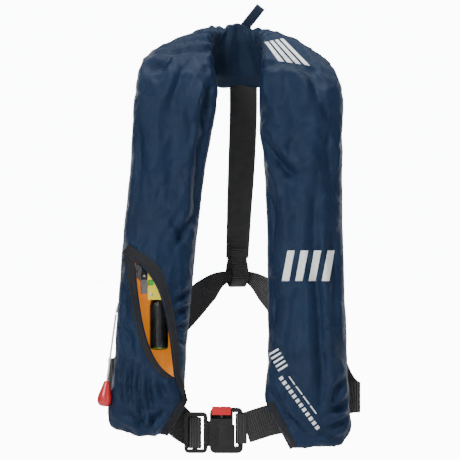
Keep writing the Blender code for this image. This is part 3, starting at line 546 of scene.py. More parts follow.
def strip_frame(at):
    """Middle, half-width vector, outward normal and (front, back, gap) of the strip at a station."""
    neck, outer = catmull(NECK_EDGE, at), catmull(OUTER_EDGE, at)
    step = 0.05
    ahead = catmull(NECK_EDGE, at + step) + catmull(OUTER_EDGE, at + step)
    behind = catmull(NECK_EDGE, at - step) + catmull(OUTER_EDGE, at - step)
    normal = np.cross(ahead - behind, outer - neck)
    return (neck + outer) / 2, (outer - neck) / 2, unit(normal), catmull(NUMBERS, at)


def crown(across):
    return (1 - abs(across) ** 2.4) ** 0.62


def flat_crown(across):
    flat = 0.62
    if abs(across) <= flat:
        return 1.0
    return math.sqrt(max(0.0, 1 - ((abs(across) - flat) / (1 - flat)) ** 2))


def section(at, fronts, backs, shrink):
    """One ring of the padded strip: its front from the outer to the neck edge, then its back."""
    middle, half, normal, (front, back, gap) = strip_frame(at)
    half = half * SPARE_WIDTH
    rise = unit(half) * -NECK_RISE * math.exp(-(((at - 13) / 1.7) ** 2))
    ring = []
    for across in fronts:
        height = 1.0 + (gap - 1.0) * (across + 1) / 2 + front * crown(across) * shrink
        ring.append(middle + half * across + normal * height + rise * (1 - across) / 2)
    for across in backs:
        flat = flat_crown(across)
        height = (1.0 + (gap - 1.0) * (across + 1) / 2) * (1 - flat) + (back + LINING_OFFSET) * flat
        ring.append(middle + half * across - normal * height + rise * (1 - across) / 2)
    return ring


def even_stations(count):
    """Stations at even steps along the strip's middle line."""
    fine = np.linspace(0, LAST, 1200)
    middles = np.array([strip_frame(at)[0] for at in fine])
    lengths = run_lengths(middles)
    return np.interp(np.linspace(0, lengths[-1], count), lengths, fine), lengths[-1]


FRONT_COLS, BACK_COLS, ROWS = 27, 21, 250


def padded_strip(finishes):
    """The whole cover as one closed tube, front and lining, ready to be blown up."""
    fronts = [math.sin(math.pi / 2 * t) for t in np.linspace(1, -1, FRONT_COLS)]
    backs = [math.sin(math.pi / 2 * t) for t in np.linspace(-1, 1, BACK_COLS)]
    ats, length = even_stations(ROWS)
    ring = FRONT_COLS + BACK_COLS
    points, uv, pinned = [], [], []
    for row, at in enumerate(ats):
        points += section(at, fronts, backs, shrink=0.9)
        half = np.linalg.norm(strip_frame(at)[1]) * MM
        along = length * row / (ROWS - 1) * MM
        uv += [(along, -a * half * 1.15) for a in fronts] + [(along, a * half * 1.15 + 0.4) for a in backs]
        pinned += [0.0] * FRONT_COLS + [1.0 if abs(a) < 0.7 else 0.0 for a in backs]
    faces = []
    kinds = []
    for r in range(ROWS - 1):
        for c in range(ring):
            after = (c + 1) % ring
            faces.append((r * ring + c, (r + 1) * ring + c, (r + 1) * ring + after, r * ring + after))
            kinds.append(0 if c < FRONT_COLS - 1 or c == ring - 1 else 1)
    for base, flip in ((0, 1), ((ROWS - 1) * ring, -1)):
        for c in range(BACK_COLS - 1):
            f0, f1 = (round(t * (FRONT_COLS - 1) / (BACK_COLS - 1)) for t in (c, c + 1))
            front = [base + FRONT_COLS - 1 - f for f in range(f0, f1 + 1)]
            back = [base + FRONT_COLS + c + 1, base + FRONT_COLS + c]
            faces.append(tuple((front + back)[::flip]))
            kinds.append(0)
    obj = object_from("cover_cloth_tube", points, faces, finishes["cover_cloth"], uv, 180)
    obj.data.materials.append(finishes["lining_cloth"])
    for polygon, kind in zip(obj.data.polygons, kinds):
        polygon.material_index = kind
    face_outwards(obj)
    marks = {
        "station": np.repeat(ats, ring), "across": fronts + backs,
        "front": [1.0] * FRONT_COLS + [0.0] * BACK_COLS,
    }
    for name, values in marks.items():
        layer = obj.data.attributes.new(name, "FLOAT", "POINT")
        layer.data.foreach_set("value", np.resize(np.asarray(values, np.float32), len(points)))
    group = obj.vertex_groups.new(name="pin")
    for i, weight in enumerate(pinned):
        if weight:
            group.add([i], weight, "REPLACE")
    return obj


def blow_up(obj, pressure, frames, cap, grow):
    """Cloth simulation with air inside and cloth to spare; no point moves further than cap."""
    cloth = obj.modifiers.new("cloth", "CLOTH")
    settings = cloth.settings
    settings.quality = 5
    settings.mass = 0.3
    settings.tension_stiffness = settings.compression_stiffness = 14
    settings.shear_stiffness = 6
    settings.bending_stiffness = 0.35
    settings.use_pressure = True
    settings.uniform_pressure_force = pressure
    settings.shrink_min = -grow
    settings.vertex_group_mass = "pin"
    settings.effector_weights.gravity = 0
    cloth.collision_settings.use_collision = False
    scene = bpy.context.scene
    cloth.point_cache.frame_start, cloth.point_cache.frame_end = 1, frames
    before = np.array([v.co for v in obj.data.vertices])
    for number in range(1, frames + 1):
        scene.frame_set(number)
    shape = obj.evaluated_get(bpy.context.evaluated_depsgraph_get()).data
    after = np.array([v.co for v in shape.vertices])
    obj.modifiers.remove(cloth)
    scene.frame_set(1)
    moved = after - before
    size = np.linalg.norm(moved, axis=1, keepdims=True)
    limit = cap * MM
    moved *= np.where(size > 1e-9, limit * np.tanh(size / limit) / np.maximum(size, 1e-9), 0)
    obj.data.vertices.foreach_set("co", (before + moved).ravel())
    obj.data.update()


# Creases of the front as lines of (x, z) points, with half-width and depth.
CREASES = (
    (((-30, -30), (-36, -50), (-43, -82)), 6, 7.0),
    (((-38, -78), (-46, -112), (-50, -160), (-50, -200)), 6, 6.0),
    (((-56, -70), (-60, -105), (-58, -150)), 7, 2.6),
    (((-52, -192), (-66, -213), (-78, -234)), 5, 3.8),
    (((-84, -196), (-72, -214), (-62, -240)), 5, 2.6),
    (((-56, -285), (-74, -302)), 3.6, 4.0),
    (((-58, -306), (-76, -318)), 3.6, 4.2),
    (((-60, -330), (-74, -333)), 3.4, 3.4),
    (((-62, -356), (-73, -350)), 3.4, 3.0),
    (((-148, -262), (-140, -292), (-141, -330)), 5, 2.6),
    (((-150, -330), (-136, -342), (-132, -366)), 4, 3.0),
    (((-144, -372), (-148, -400), (-143, -430)), 4, 4.0),
    (((-134, -378), (-136, -408), (-131, -436)), 3.6, 4.6),
    (((-122, -384), (-125, -414), (-119, -440), (-122, -462)), 3.6, 4.4),
    (((-112, -392), (-112, -420), (-106, -452)), 4, 3.8),
    (((-100, -400), (-94, -412), (-88, -424)), 4, 3.2),
    (((-116, -463), (-104, -449), (-90, -436)), 4, 4.4),
    (((-145, -438), (-128, -448), (-112, -462)), 4, 3.2),
    (((-116, -14), (-104, -7), (-90, -3)), 5, 4.0),
    (((-134, -60), (-122, -100), (-124, -160), (-132, -215)), 8, 2.6),
    (((-88, -50), (-80, -120), (-92, -195)), 13, 2.2),
    (((-120, -120), (-110, -170), (-120, -230)), 10, 2.0),
    (((30, -96), (44, -120), (60, -138), (78, -148)), 6, 4.6),
    (((32, -150), (44, -190), (42, -250)), 7, 3.0),
    (((34, -250), (46, -300), (42, -350)), 8, 2.2),
    (((97, -140), (94, -237), (99, -300), (105, -387), (103, -455)), 6, 4.6),
    (((70, -300), (64, -360), (70, -420)), 10, 2.0),
    (((138, -396), (124, -410), (116, -432)), 4.5, 4.6),
    (((140, -420), (128, -434), (112, -442)), 4.5, 4.4),
    (((138, -446), (122, -458), (102, -462)), 4, 3.6),
    (((128, -476), (110, -468), (92, -470)), 4, 3.0),
    (((38, -412), (54, -436), (76, -470)), 5, 3.6),
    (((50, -440), (70, -452), (92, -480)), 4.5, 3.0),
    (((120, -60), (112, -110), (118, -180)), 9, 2.6),
    (((118, -200), (122, -260), (120, -330)), 7, 2.6),
    (((60, -40), (70, -80), (62, -130)), 12, 2.2),
    (((52, 14), (84, -4), (112, -40)), 8, 3.4),
    (((66, 2), (92, -22), (110, -70)), 6, 2.4),
    (((-58, 22), (-84, 6), (-108, -30)), 8, 3.0),
    (((-50, 10), (-70, -14), (-82, -60)), 7, 3.0),
)
# Gathers where the strip turns round the neck: station, width in stations and depth.
GATHERS = (
    (10.3, 0.1, 6), (10.62, 0.09, 5), (10.95, 0.1, 7), (11.25, 0.08, 6), (11.55, 0.1, 7), (11.9, 0.08, 5),
    (12.3, 0.1, 5), (12.75, 0.1, 4), (13.3, 0.1, 4), (13.8, 0.1, 6), (14.2, 0.09, 6), (14.55, 0.1, 7),
    (14.95, 0.1, 5), (16.2, 0.12, 4),
)
# Waves of the collar's lining, between the lobes: station, width and depth.
HEM_WAVES = (
    (12.1, 0.16, -3.0), (12.45, 0.1, 2.5), (12.75, 0.1, -2.5), (13.05, 0.09, 2.2), (13.35, 0.1, -2.6),
    (13.7, 0.1, 2.4), (14.0, 0.14, -3.0),
)


def distance_to_line(points, line):
    """Each point's distance from a broken line, and how far along it the nearest place is, 0 to 1."""
    line = np.array(line, float)
    best = np.full(len(points), 1e9)
    along = np.zeros(len(points))
    total = len(line) - 1
    for i, (a, b) in enumerate(zip(line, line[1:])):
        t = np.clip(((points - a) @ (b - a)) / ((b - a) @ (b - a)), 0, 1)
        d = np.linalg.norm(points - a - t[:, None] * (b - a), axis=1)
        nearer = d < best
        best = np.where(nearer, d, best)
        along = np.where(nearer, (i + t) / total, along)
    return best, along


CREASE_GAIN = 1.75


def mark(obj, name):
    values = np.empty(len(obj.data.vertices), np.float32)
    obj.data.attributes[name].data.foreach_get("value", values)
    return values


def crease_shape(d, width):
    """A sharp valley with a soft roll of cloth on each side of it."""
    return np.exp(-1.15 * d / width) - 0.42 * np.exp(-(((d - 2.1 * width) / width) ** 2))


def fold_cloth(obj):
    """Presses the creases and gathers into the cloth and adds a slow, uneven slackness."""
    count = len(obj.data.vertices)
    co = np.empty(count * 3)
    obj.data.vertices.foreach_get("co", co)
    co = co.reshape(-1, 3) / MM
    normals = np.empty(count * 3)
    obj.data.vertex_normals.foreach_get("vector", normals)
    normals = normals.reshape(-1, 3)
    station, across, front = (mark(obj, name) for name in ("station", "across", "front"))
    push = np.zeros(count)
    lobes = co[:, 1] < -30
    for line, width, depth in CREASES:
        d, along = distance_to_line(co[:, [0, 2]], line)
        ends = np.sin(np.clip(along, 0.04, 0.96) * math.pi) ** 0.6
        push -= np.where(lobes | (line[0][1] > -20), CREASE_GAIN * depth * ends * crease_shape(d, width), 0)
    neck_side = np.clip((1 - across) / 2, 0, 1)
    for where, width, depth in GATHERS:
        push -= depth * neck_side**0.8 * crease_shape(np.abs(station - where), width)
    for i in range(count):
        place = Vector((co[i, 0] * 0.035, co[i, 1] * 0.02, co[i, 2] * 0.018))
        ridge = 1 - 2 * abs(noise.noise(place * 1.7 + Vector((7, 3, 1))))
        push[i] += 1.6 * noise.noise(place) + 1.7 * ridge**3 + 0.45 * noise.noise(place * 3.6)
    push *= front * np.clip((1 - np.abs(across)) * 6 + 0.12, 0, 1)
    for where, width, depth in HEM_WAVES:
        hem = (1 - front) * (0.4 + 0.6 * (1 - neck_side))
        push -= hem * depth * np.exp(-(((station - where) / width) ** 2))
    co += normals * push[:, None]
    obj.data.vertices.foreach_set("co", (co * MM).ravel())
    obj.data.update()


# ---- the inspection opening ----------------------------------------------------------------------
LEAF_TOP, LEAF_BOTTOM = (-129.0, -252.5), (-79.3, -396.0)
LEAF_HANDLES = ((-93.0, -270.0), (-87.0, -326.0))


def leaf_side():
    return bezier(LEAF_TOP, *LEAF_HANDLES, LEAF_BOTTOM, 25)


def leaf_outer_side():
    centre = (np.array(LEAF_TOP) + np.array(LEAF_BOTTOM)) / 2
    return [2 * centre - p for p in leaf_side()][::-1]


def leaf_cutter():
    outline = leaf_side() + leaf_outer_side()[-2:0:-1]
    points = [(x, y, z) for y in (-160, -86) for x, z in outline]
    return face_outwards(object_from("leaf_cutter", points, ring_faces(2, len(outline)), smooth=180))


def keep_material(obj, index, name):
    """A copy of the object with only the faces of one material slot."""
    made = obj.copy()
    made.data = obj.data.copy()
    made.name = name
    bpy.context.scene.collection.objects.link(made)
    bm = bmesh.new()
    bm.from_mesh(made.data)
    gone = [f for f in bm.faces if f.material_index != index]
    bmesh.ops.delete(bm, geom=gone, context="FACES")
    bm.to_mesh(made.data)
    bm.free()
    surface = obj.data.materials[index]
    made.data.materials.clear()
    made.data.materials.append(surface)
    for polygon in made.data.polygons:
        polygon.material_index = 0
    return made


def make_covers(finishes):
    """The navy cover with its opening cut out, and the lining behind it."""
    whole = padded_strip(finishes)
    blow_up(whole, pressure=3.2, frames=14, cap=5.0, grow=0.035)
    finer = whole.modifiers.new("finer", "SUBSURF")
    finer.levels = finer.render_levels = 1
    apply_modifiers(whole)
    fold_cloth(whole)
    cover = keep_material(whole, 0, "cover")
    lining = keep_material(whole, 1, "lining")
    bpy.data.objects.remove(whole, do_unlink=True)
    for obj in (cover, lining):
        wall = obj.modifiers.new("wall", "SOLIDIFY")
        wall.thickness = 1.0 * MM
        wall.offset = -1
    cutter = leaf_cutter()
    cut = cover.modifiers.new("opening", "BOOLEAN")
    cut.operation = "DIFFERENCE"
    cut.object = cutter
    apply_modifiers(cover)
    apply_modifiers(lining)
    bpy.data.objects.remove(cutter, do_unlink=True)
    cover.data.shade_smooth()
    lining.data.shade_smooth()
    belongs(
        cover, "jacket", "cover_cloth",
        "cover_left_upper_panel", "cover_left_lower_panel", "cover_right_panel", "cover_collar_panel",
    )
    panels = [f"lining_{place}_panel" for place in ("left", "right", "collar")]
    belongs(lining, "jacket", "lining_cloth", *panels)
    return cover


def tree_of(obj):
    bpy.context.view_layer.update()
    return BVHTree.FromObject(obj, bpy.context.evaluated_depsgraph_get())


def front_hit(tree, x, z):
    """Where a line along +Y first meets the surface, in millimetres, and the normal there towards -Y."""
    hit, normal, _, _ = tree.ray_cast(Vector((x * MM, -0.4, z * MM)), Vector((0, 1, 0)))
    if hit is None:
        return None, np.array((0, -1, 0))
    return np.array(hit) / MM, np.array(-normal if normal.y > 0 else normal)


# ---- ribbons, tapes and stitches -----------------------------------------------------------------
def smooth_line(knots, samples):
    """A smooth curve through unevenly spaced points, with as many samples to each stretch."""
    knots = [np.array(k, float) for k in knots]
    steps = [np.linalg.norm(b - a) for a, b in zip(knots, knots[1:])]
    speeds = [(b - a) / d for a, b, d in zip(knots, knots[1:], steps)]
    pairs = zip(speeds, speeds[1:], steps, steps[1:])
    inner = [(v0 * d1 + v1 * d0) / (d0 + d1) for v0, v1, d0, d1 in pairs]
    tangents = [speeds[0], *inner, speeds[-1]]
    line = [knots[0]]
    for i, d in enumerate(steps):
        for t in np.linspace(0, 1, samples + 1)[1:]:
            line.append(
                (2 * t**3 - 3 * t**2 + 1) * knots[i] + (t**3 - 2 * t**2 + t) * d * tangents[i]
                + (3 * t**2 - 2 * t**3) * knots[i + 1] + (t**3 - t**2) * d * tangents[i + 1]
            )
    return np.array(line)


def band_mesh(name, line, acrosses, widths, thickness, surface, cup=0.0):
    """A strap from its line, the direction across it and its width at each point. Its section is a
    flat lens with rounded edges, cupped a little if wanted."""
    count = len(line)
    flat = [(u, -0.5) for u in (-0.9, -0.45, 0, 0.45, 0.9)]
    profile = [(-1.0, 0.0), (-0.97, -0.35), *flat, (0.97, -0.35)]
    profile += [(-u, -v) for u, v in profile]
    points, uv = [], []
    length = 0.0
    for i in range(count):
        along = heading(line, i)
        across = unit(acrosses[i] - along * (acrosses[i] @ along))
        up = np.cross(along, across)
        if i:
            length += np.linalg.norm(line[i] - line[i - 1])
        for u, v in profile:
            rise = v * thickness + cup * (u * u - 0.4)
            points.append(line[i] + across * u * widths[i] / 2 + up * rise)
            uv.append((length * MM, u * widths[i] / 2 * MM))
    return face_outwards(object_from(name, points, ring_faces(count, len(profile)), surface, uv, 50))


def tube(name, line, radius, surface, sides=10):
    """A round rod along a line of points, with flat ends."""
    line = np.array(line, float)
    points, side = [], None
    for i, here in enumerate(line):
        along = heading(line, i)
        side = unit(np.cross(along, (0.3, 0.8, 0.5)) if side is None else side - along * (side @ along))
        other = np.cross(along, side)
        for angle in np.linspace(0, 2 * math.pi, sides, endpoint=False):
            points.append(here + (side * math.cos(angle) + other * math.sin(angle)) * radius)
    return object_from(name, points, ring_faces(len(line), sides), surface, smooth=50)


def strap(name, knots, width, surface, samples=8, thickness=WEBBING, cup=0.0):
    """A strap through knots, each a point and the direction across it there. The width is one number
    or one per knot."""
    line = smooth_line([k[0] for k in knots], samples)
    across = np.array([unit(k[1]) for k in knots])
    sizes = np.broadcast_to(np.array(width, float), len(knots))
    places = np.arange(len(line)) / samples
    whole = np.arange(len(knots))
    acrosses = np.stack([np.interp(places, whole, across[:, k]) for k in range(3)], axis=1)
    return band_mesh(name, line, acrosses, np.interp(places, whole, sizes), thickness, surface, cup)


def stitches(name, path, surface, pitch=3.2, radius=0.35):
    """A row of stitches, each a short thread, along a dense path of (point, outward normal)."""
    shares, sides = (0.14, 0.3, 0.5, 0.7, 0.86), 6
    points, faces = [], []
    line = np.array([np.array(p, float) for p, _ in path])
    outs = np.array([np.array(n, float) for _, n in path])
    lengths = run_lengths(line)
    for k in range(int(lengths[-1] // pitch)):
        samples = []
        for share in shares:
            at = (k + share) * pitch
            place, out = (
                np.array([np.interp(at, lengths, v[:, c]) for c in range(3)]) for v in (line, outs)
            )
            out = unit(out)
            rise = 0.15 if 0.2 < share < 0.8 else -0.5
            samples.append((place + out * (rise + radius * 0.4), out))
        along = unit(samples[-1][0] - samples[0][0])
        faces += ring_faces(len(shares), sides, len(points))
        for place, out in samples:
            side = np.cross(along, out)
            for turn in np.linspace(0, 2 * math.pi, sides, endpoint=False):
                points.append(place + side * math.cos(turn) * radius + out * math.sin(turn) * radius)
    return object_from(name, points, faces, surface, smooth=80)


def laid_line(path, tree, offset, lift, spacing=2.0):
    """Points on the cover under a line of (x, z) points moved sideways by offset, with normals."""
    path = np.array(path, float)
    lengths = run_lengths(path)
    at = np.arange(0, lengths[-1], spacing)
    flat = np.stack([np.interp(at, lengths, path[:, k]) for k in range(2)], axis=1)
    offsets = np.broadcast_to(offset, len(flat))
    out = []
    last = LOBE_Y
    for i, here in enumerate(flat):
        along = heading(flat, i)
        x, z = here + np.array((-along[1], along[0])) * offsets[i]
        place, normal = front_hit(tree, x, z)
        if place is None:
            place = np.array((x, last, z))
        last = place[1]
        out.append((place + normal * lift, normal))
    return out


def laid_tape(name, path, tree, inside, outside, surface, lift=0.5, wrap=0.0):
    """A tape on the cover's face along (x, z) points. Each of its sides is so many millimetres beside
    them, one number or several spread evenly along. With wrap it also turns in over the cut edge."""
    columns, thickness, spacing = 6, 1.1, 2.0
    length = run_lengths(path)[-1]
    share = np.arange(0, length, spacing) / length
    sides = (np.atleast_1d(inside), np.atleast_1d(outside))
    near, far = (np.interp(share, np.linspace(0, 1, len(side)), side) for side in sides)
    rails = [laid_line(path, tree, near + (far - near) * k / (columns - 1), lift) for k in range(columns)]
    points, uv = [], []
    for i in range(len(share)):
        lower = [rail[i][0] for rail in rails]
        upper = [rail[i][0] + rail[i][1] * thickness for rail in rails]
        if wrap:
            lower[0] = lower[0] + np.array((0, wrap, 0))
        points += lower + upper[::-1]
        uv += [(i * spacing * MM, c * 1.6 * MM) for c in range(2 * columns)]
    return face_outwards(object_from(name, points, ring_faces(len(share), 2 * columns), surface, uv, 55))


UPPER_TAPE = (13.5, 14.5, 15.0, 11.5, 10.0, 9.5, 9.0, 7.5, 6.5, 6.0)
LOWER_TAPE = (-12.5, -9.5, -8.6, -8.6, -9.0, -8.6, -7.5, -6.0)


def make_bindings(cover, finishes):
    """The bound edges round the opening, and the folded tapes over the lobes' slanted corners."""
    tree = tree_of(cover)
    tape, thread = finishes["binding_tape"], finishes["thread"]
    upper = [np.array((-143.5, -241.0)), *leaf_side(), np.array((-72.5, -413.0)), np.array((-68.0, -428.0))]
    lower = [np.array((-131.5, -245.0)), *leaf_outer_side()[:-1], np.array((-82.0, -395.0))]
    upper_tape = laid_tape("binding_upper", upper, tree, -0.4, UPPER_TAPE, tape, wrap=3.0)
    lower_tape = laid_tape("binding_lower", lower, tree, LOWER_TAPE, 0.4, tape, lift=0.3)
    belongs(upper_tape, "jacket", "binding_tape", "binding_upper_panel")
    belongs(lower_tape, "jacket", "binding_tape", "binding_lower_panel")
    rows = (
        ("stitches_upper_near", upper, 1.6), ("stitches_upper_far", upper, np.array(UPPER_TAPE) - 1.2),
        ("stitches_lower_far", lower, np.array(LOWER_TAPE) + 1.2),
    )
    for name, path, offset in rows:
        steps = len(laid_line(path, tree, 0.0, 0.0, 1.0))
        if np.ndim(offset):
            offset = np.interp(np.linspace(0, 1, steps), np.linspace(0, 1, len(offset)), offset)
        row = stitches(name, laid_line(path, tree, offset, 1.7, 1.0), thread, 2.8, 0.24)
        belongs(row, "jacket", "binding_tape")
    corner_cap("corner_tape_left", (-64.0, -427.5), (-88.5, -470.0), -1, tree, tape)
    corner_cap("corner_tape_right", (36.0, -430.0), (65.5, -486.5), 1, tree, tape)
    return tree


def corner_cap(name, top, bottom, hand, tree, surface):
    """A tape folded round the slanted edge of a lobe: over its front, round the edge and behind."""
    top, bottom = np.array(top), np.array(bottom)
    length = np.linalg.norm(bottom - top)
    along = (bottom - top) / length
    inward = np.array((-along[1], along[0])) * hand
    rows = 24
    points, uv = [], []
    for i in range(rows):
        here = top + along * length * i / (rows - 1)
        face = []
        for reach in (8.4, 6.4, 4.2, 2.2, 0.7):
            x, z = here + inward * reach
            y = LOBE_Y - 2.4 - 1.1 * reach**0.75
            place, _ = front_hit(tree, x, z)
            face.append((reach, y - 0.6 if place is None else min(place[1] - 0.6, y)))
        back = [(0.7, LOBE_Y + 3.0), (2.2, LOBE_Y + 4.6), (4.2, LOBE_Y + 5.6), (8.0, LOBE_Y + 6.4)]
        outer = face + [(-0.3, LOBE_Y - 1.8), (-0.6, LOBE_Y), (-0.3, LOBE_Y + 1.8)] + back
        inner = [(reach + 0.9, y + (0.9 if y < LOBE_Y else -0.9)) for reach, y in outer[::-1]]
        for k, (reach, y) in enumerate(outer + inner):
            x, z = here + inward * reach
            points.append((x, y, z))
            uv.append((i * length / rows * MM, k * 1.7 * MM))
    faces = ring_faces(rows, len(points) // rows)
    obj = face_outwards(object_from(name, points, faces, surface, uv, 50))
    belongs(obj, "jacket", "binding_tape", "binding_corner_left" if hand < 0 else "binding_corner_right")


def make_patch(finishes):
    """The reflective patch on the bladder beside the lever, bent a little with the cloth."""
    outline = (
        (-131, -253.5), (-114.0, -259), (-112.9, -292.5), (-121.8, -292.5), (-122.2, -276.5),
        (-129.6, -270),
    )
    count = len(outline)
    points = [(x, behind - 78.4 - 0.7 * math.sin(x * 0.35), z) for behind in (0, 0.5) for x, z in outline]
    faces = ring_faces(2, count)
    obj = object_from("bladder_patch", points, faces, finishes["reflective"], [(0, 0)] * len(points), 30)
    belongs(face_outwards(obj), "jacket", "reflective", "bladder_reflective_patch")


def make_prints(tree, finishes):
    """Plain reflective marks: slanted bars on the chest and shoulder, and a slanted ladder."""
    def patch(name, corners, steps):
        """A thin patch on the cover between four (x, z) corners."""
        a, b, c, d = (np.array(corner, float) for corner in corners)
        shares = np.linspace(0, 1, steps + 1)
        points, uv, faces = [], [], []
        for u in shares:
            for v in shares:
                x, z = (a * (1 - u) + b * u) * (1 - v) + (d * (1 - u) + c * u) * v
                place, normal = front_hit(tree, x, z)
                if place is None:
                    return
                points.append(place + normal * 0.5)
                uv.append((u * 0.02, v * 0.02))
        side = steps + 1
        for i in range(steps):
            for j in range(steps):
                here = i * side + j
                faces.append((here, here + side, here + side + 1, here + 1))
        obj = object_from(name, points, faces, finishes["reflective"], uv, 180)
        obj.modifiers.new("wall", "SOLIDIFY").thickness = 0.25 * MM
        belongs(obj, "jacket", "reflective")

    def row(name, start, direction, pitch, length, width, count, steps):
        """Bars of one length and width along a line."""
        for k in range(count):
            here = start + direction * k * pitch
            ahead, up = here + direction * length, width * np.array((-direction[1], direction[0]))
            patch(f"{name}_{k}", (here, ahead, ahead + up, here + up), steps)

    for k in range(4):
        x = 54.5 + k * 16.6
        patch(f"chest_mark_{k}", ((x, -276), (x + 9, -276), (x + 16, -238), (x + 7, -238)), 12)
    low_side, high_side = np.array((41, -6)), np.array((24, 5))  # the shoulder mark's lower and upper side
    pitch, filled = 0.265, 0.17  # as shares of them
    for k in range(4):
        low = np.array((50.5, -1.5)) + low_side * pitch * k
        high = np.array((33.5, 23.5)) + high_side * pitch * k
        patch(f"shoulder_mark_{k}", (low, low + low_side * filled, high + high_side * filled, high), 14)
    direction = unit((17.0, -31.0))
    for k in range(6):
        here = np.array((36.0, -362.0)) + direction * k * 5.6
        patch(f"ladder_mark_{k}", (here, here + (11.5, 7.5), here + (12.7, 5.2), here + (1.2, -2.3)), 4)
    start, direction = np.array((50.5, -397.0)), unit((49.0, -67.0))
    row("bar_mark", start, direction, 6.9, 4.4, 5.2, 12, 3)
    start = start + np.array((-direction[1], direction[0])) * 11 + direction * 6
    row("line_mark", start, direction, 15, 12.5, 1.5, 4, 6)


# ---- straps --------------------------------------------------------------------------------------
SLIDERS = {
    "left": ((-100.5, -26.6, -345.5), (-0.74, -0.4, -0.6), (0.6, 0, -0.75)),
    "right": ((96.5, -28.2, -349.0), (0.66, -0.38, -0.68), (0.7, 0, 0.7)),
}


def slider_turn(side, hand):
    """Knots of a strap's end round an outer bar of a slider, as in the frame."""
    middle, along, across = (np.array(v, float) for v in SLIDERS[side])
    along = unit(along)
    across = unit(across - along * (across @ along))
    normal = np.cross(across, along)
    path = ((-17, 3.2), (-12, 3.2), (-8.9, 2.2), (-8.1, 0), (-8.9, -2.2), (-12, -3.2), (-19, -3.8))
    knots = [(middle - along * hand * x + normal * y, across) for x, y in path]
    return knots if hand < 0 else knots[::-1]


def round_bar(centre, radius, first, last, steps):
    angles = np.radians(np.linspace(first, last, steps))
    return [(centre[0] + radius * math.cos(a), centre[1] + radius * math.sin(a)) for a in angles]


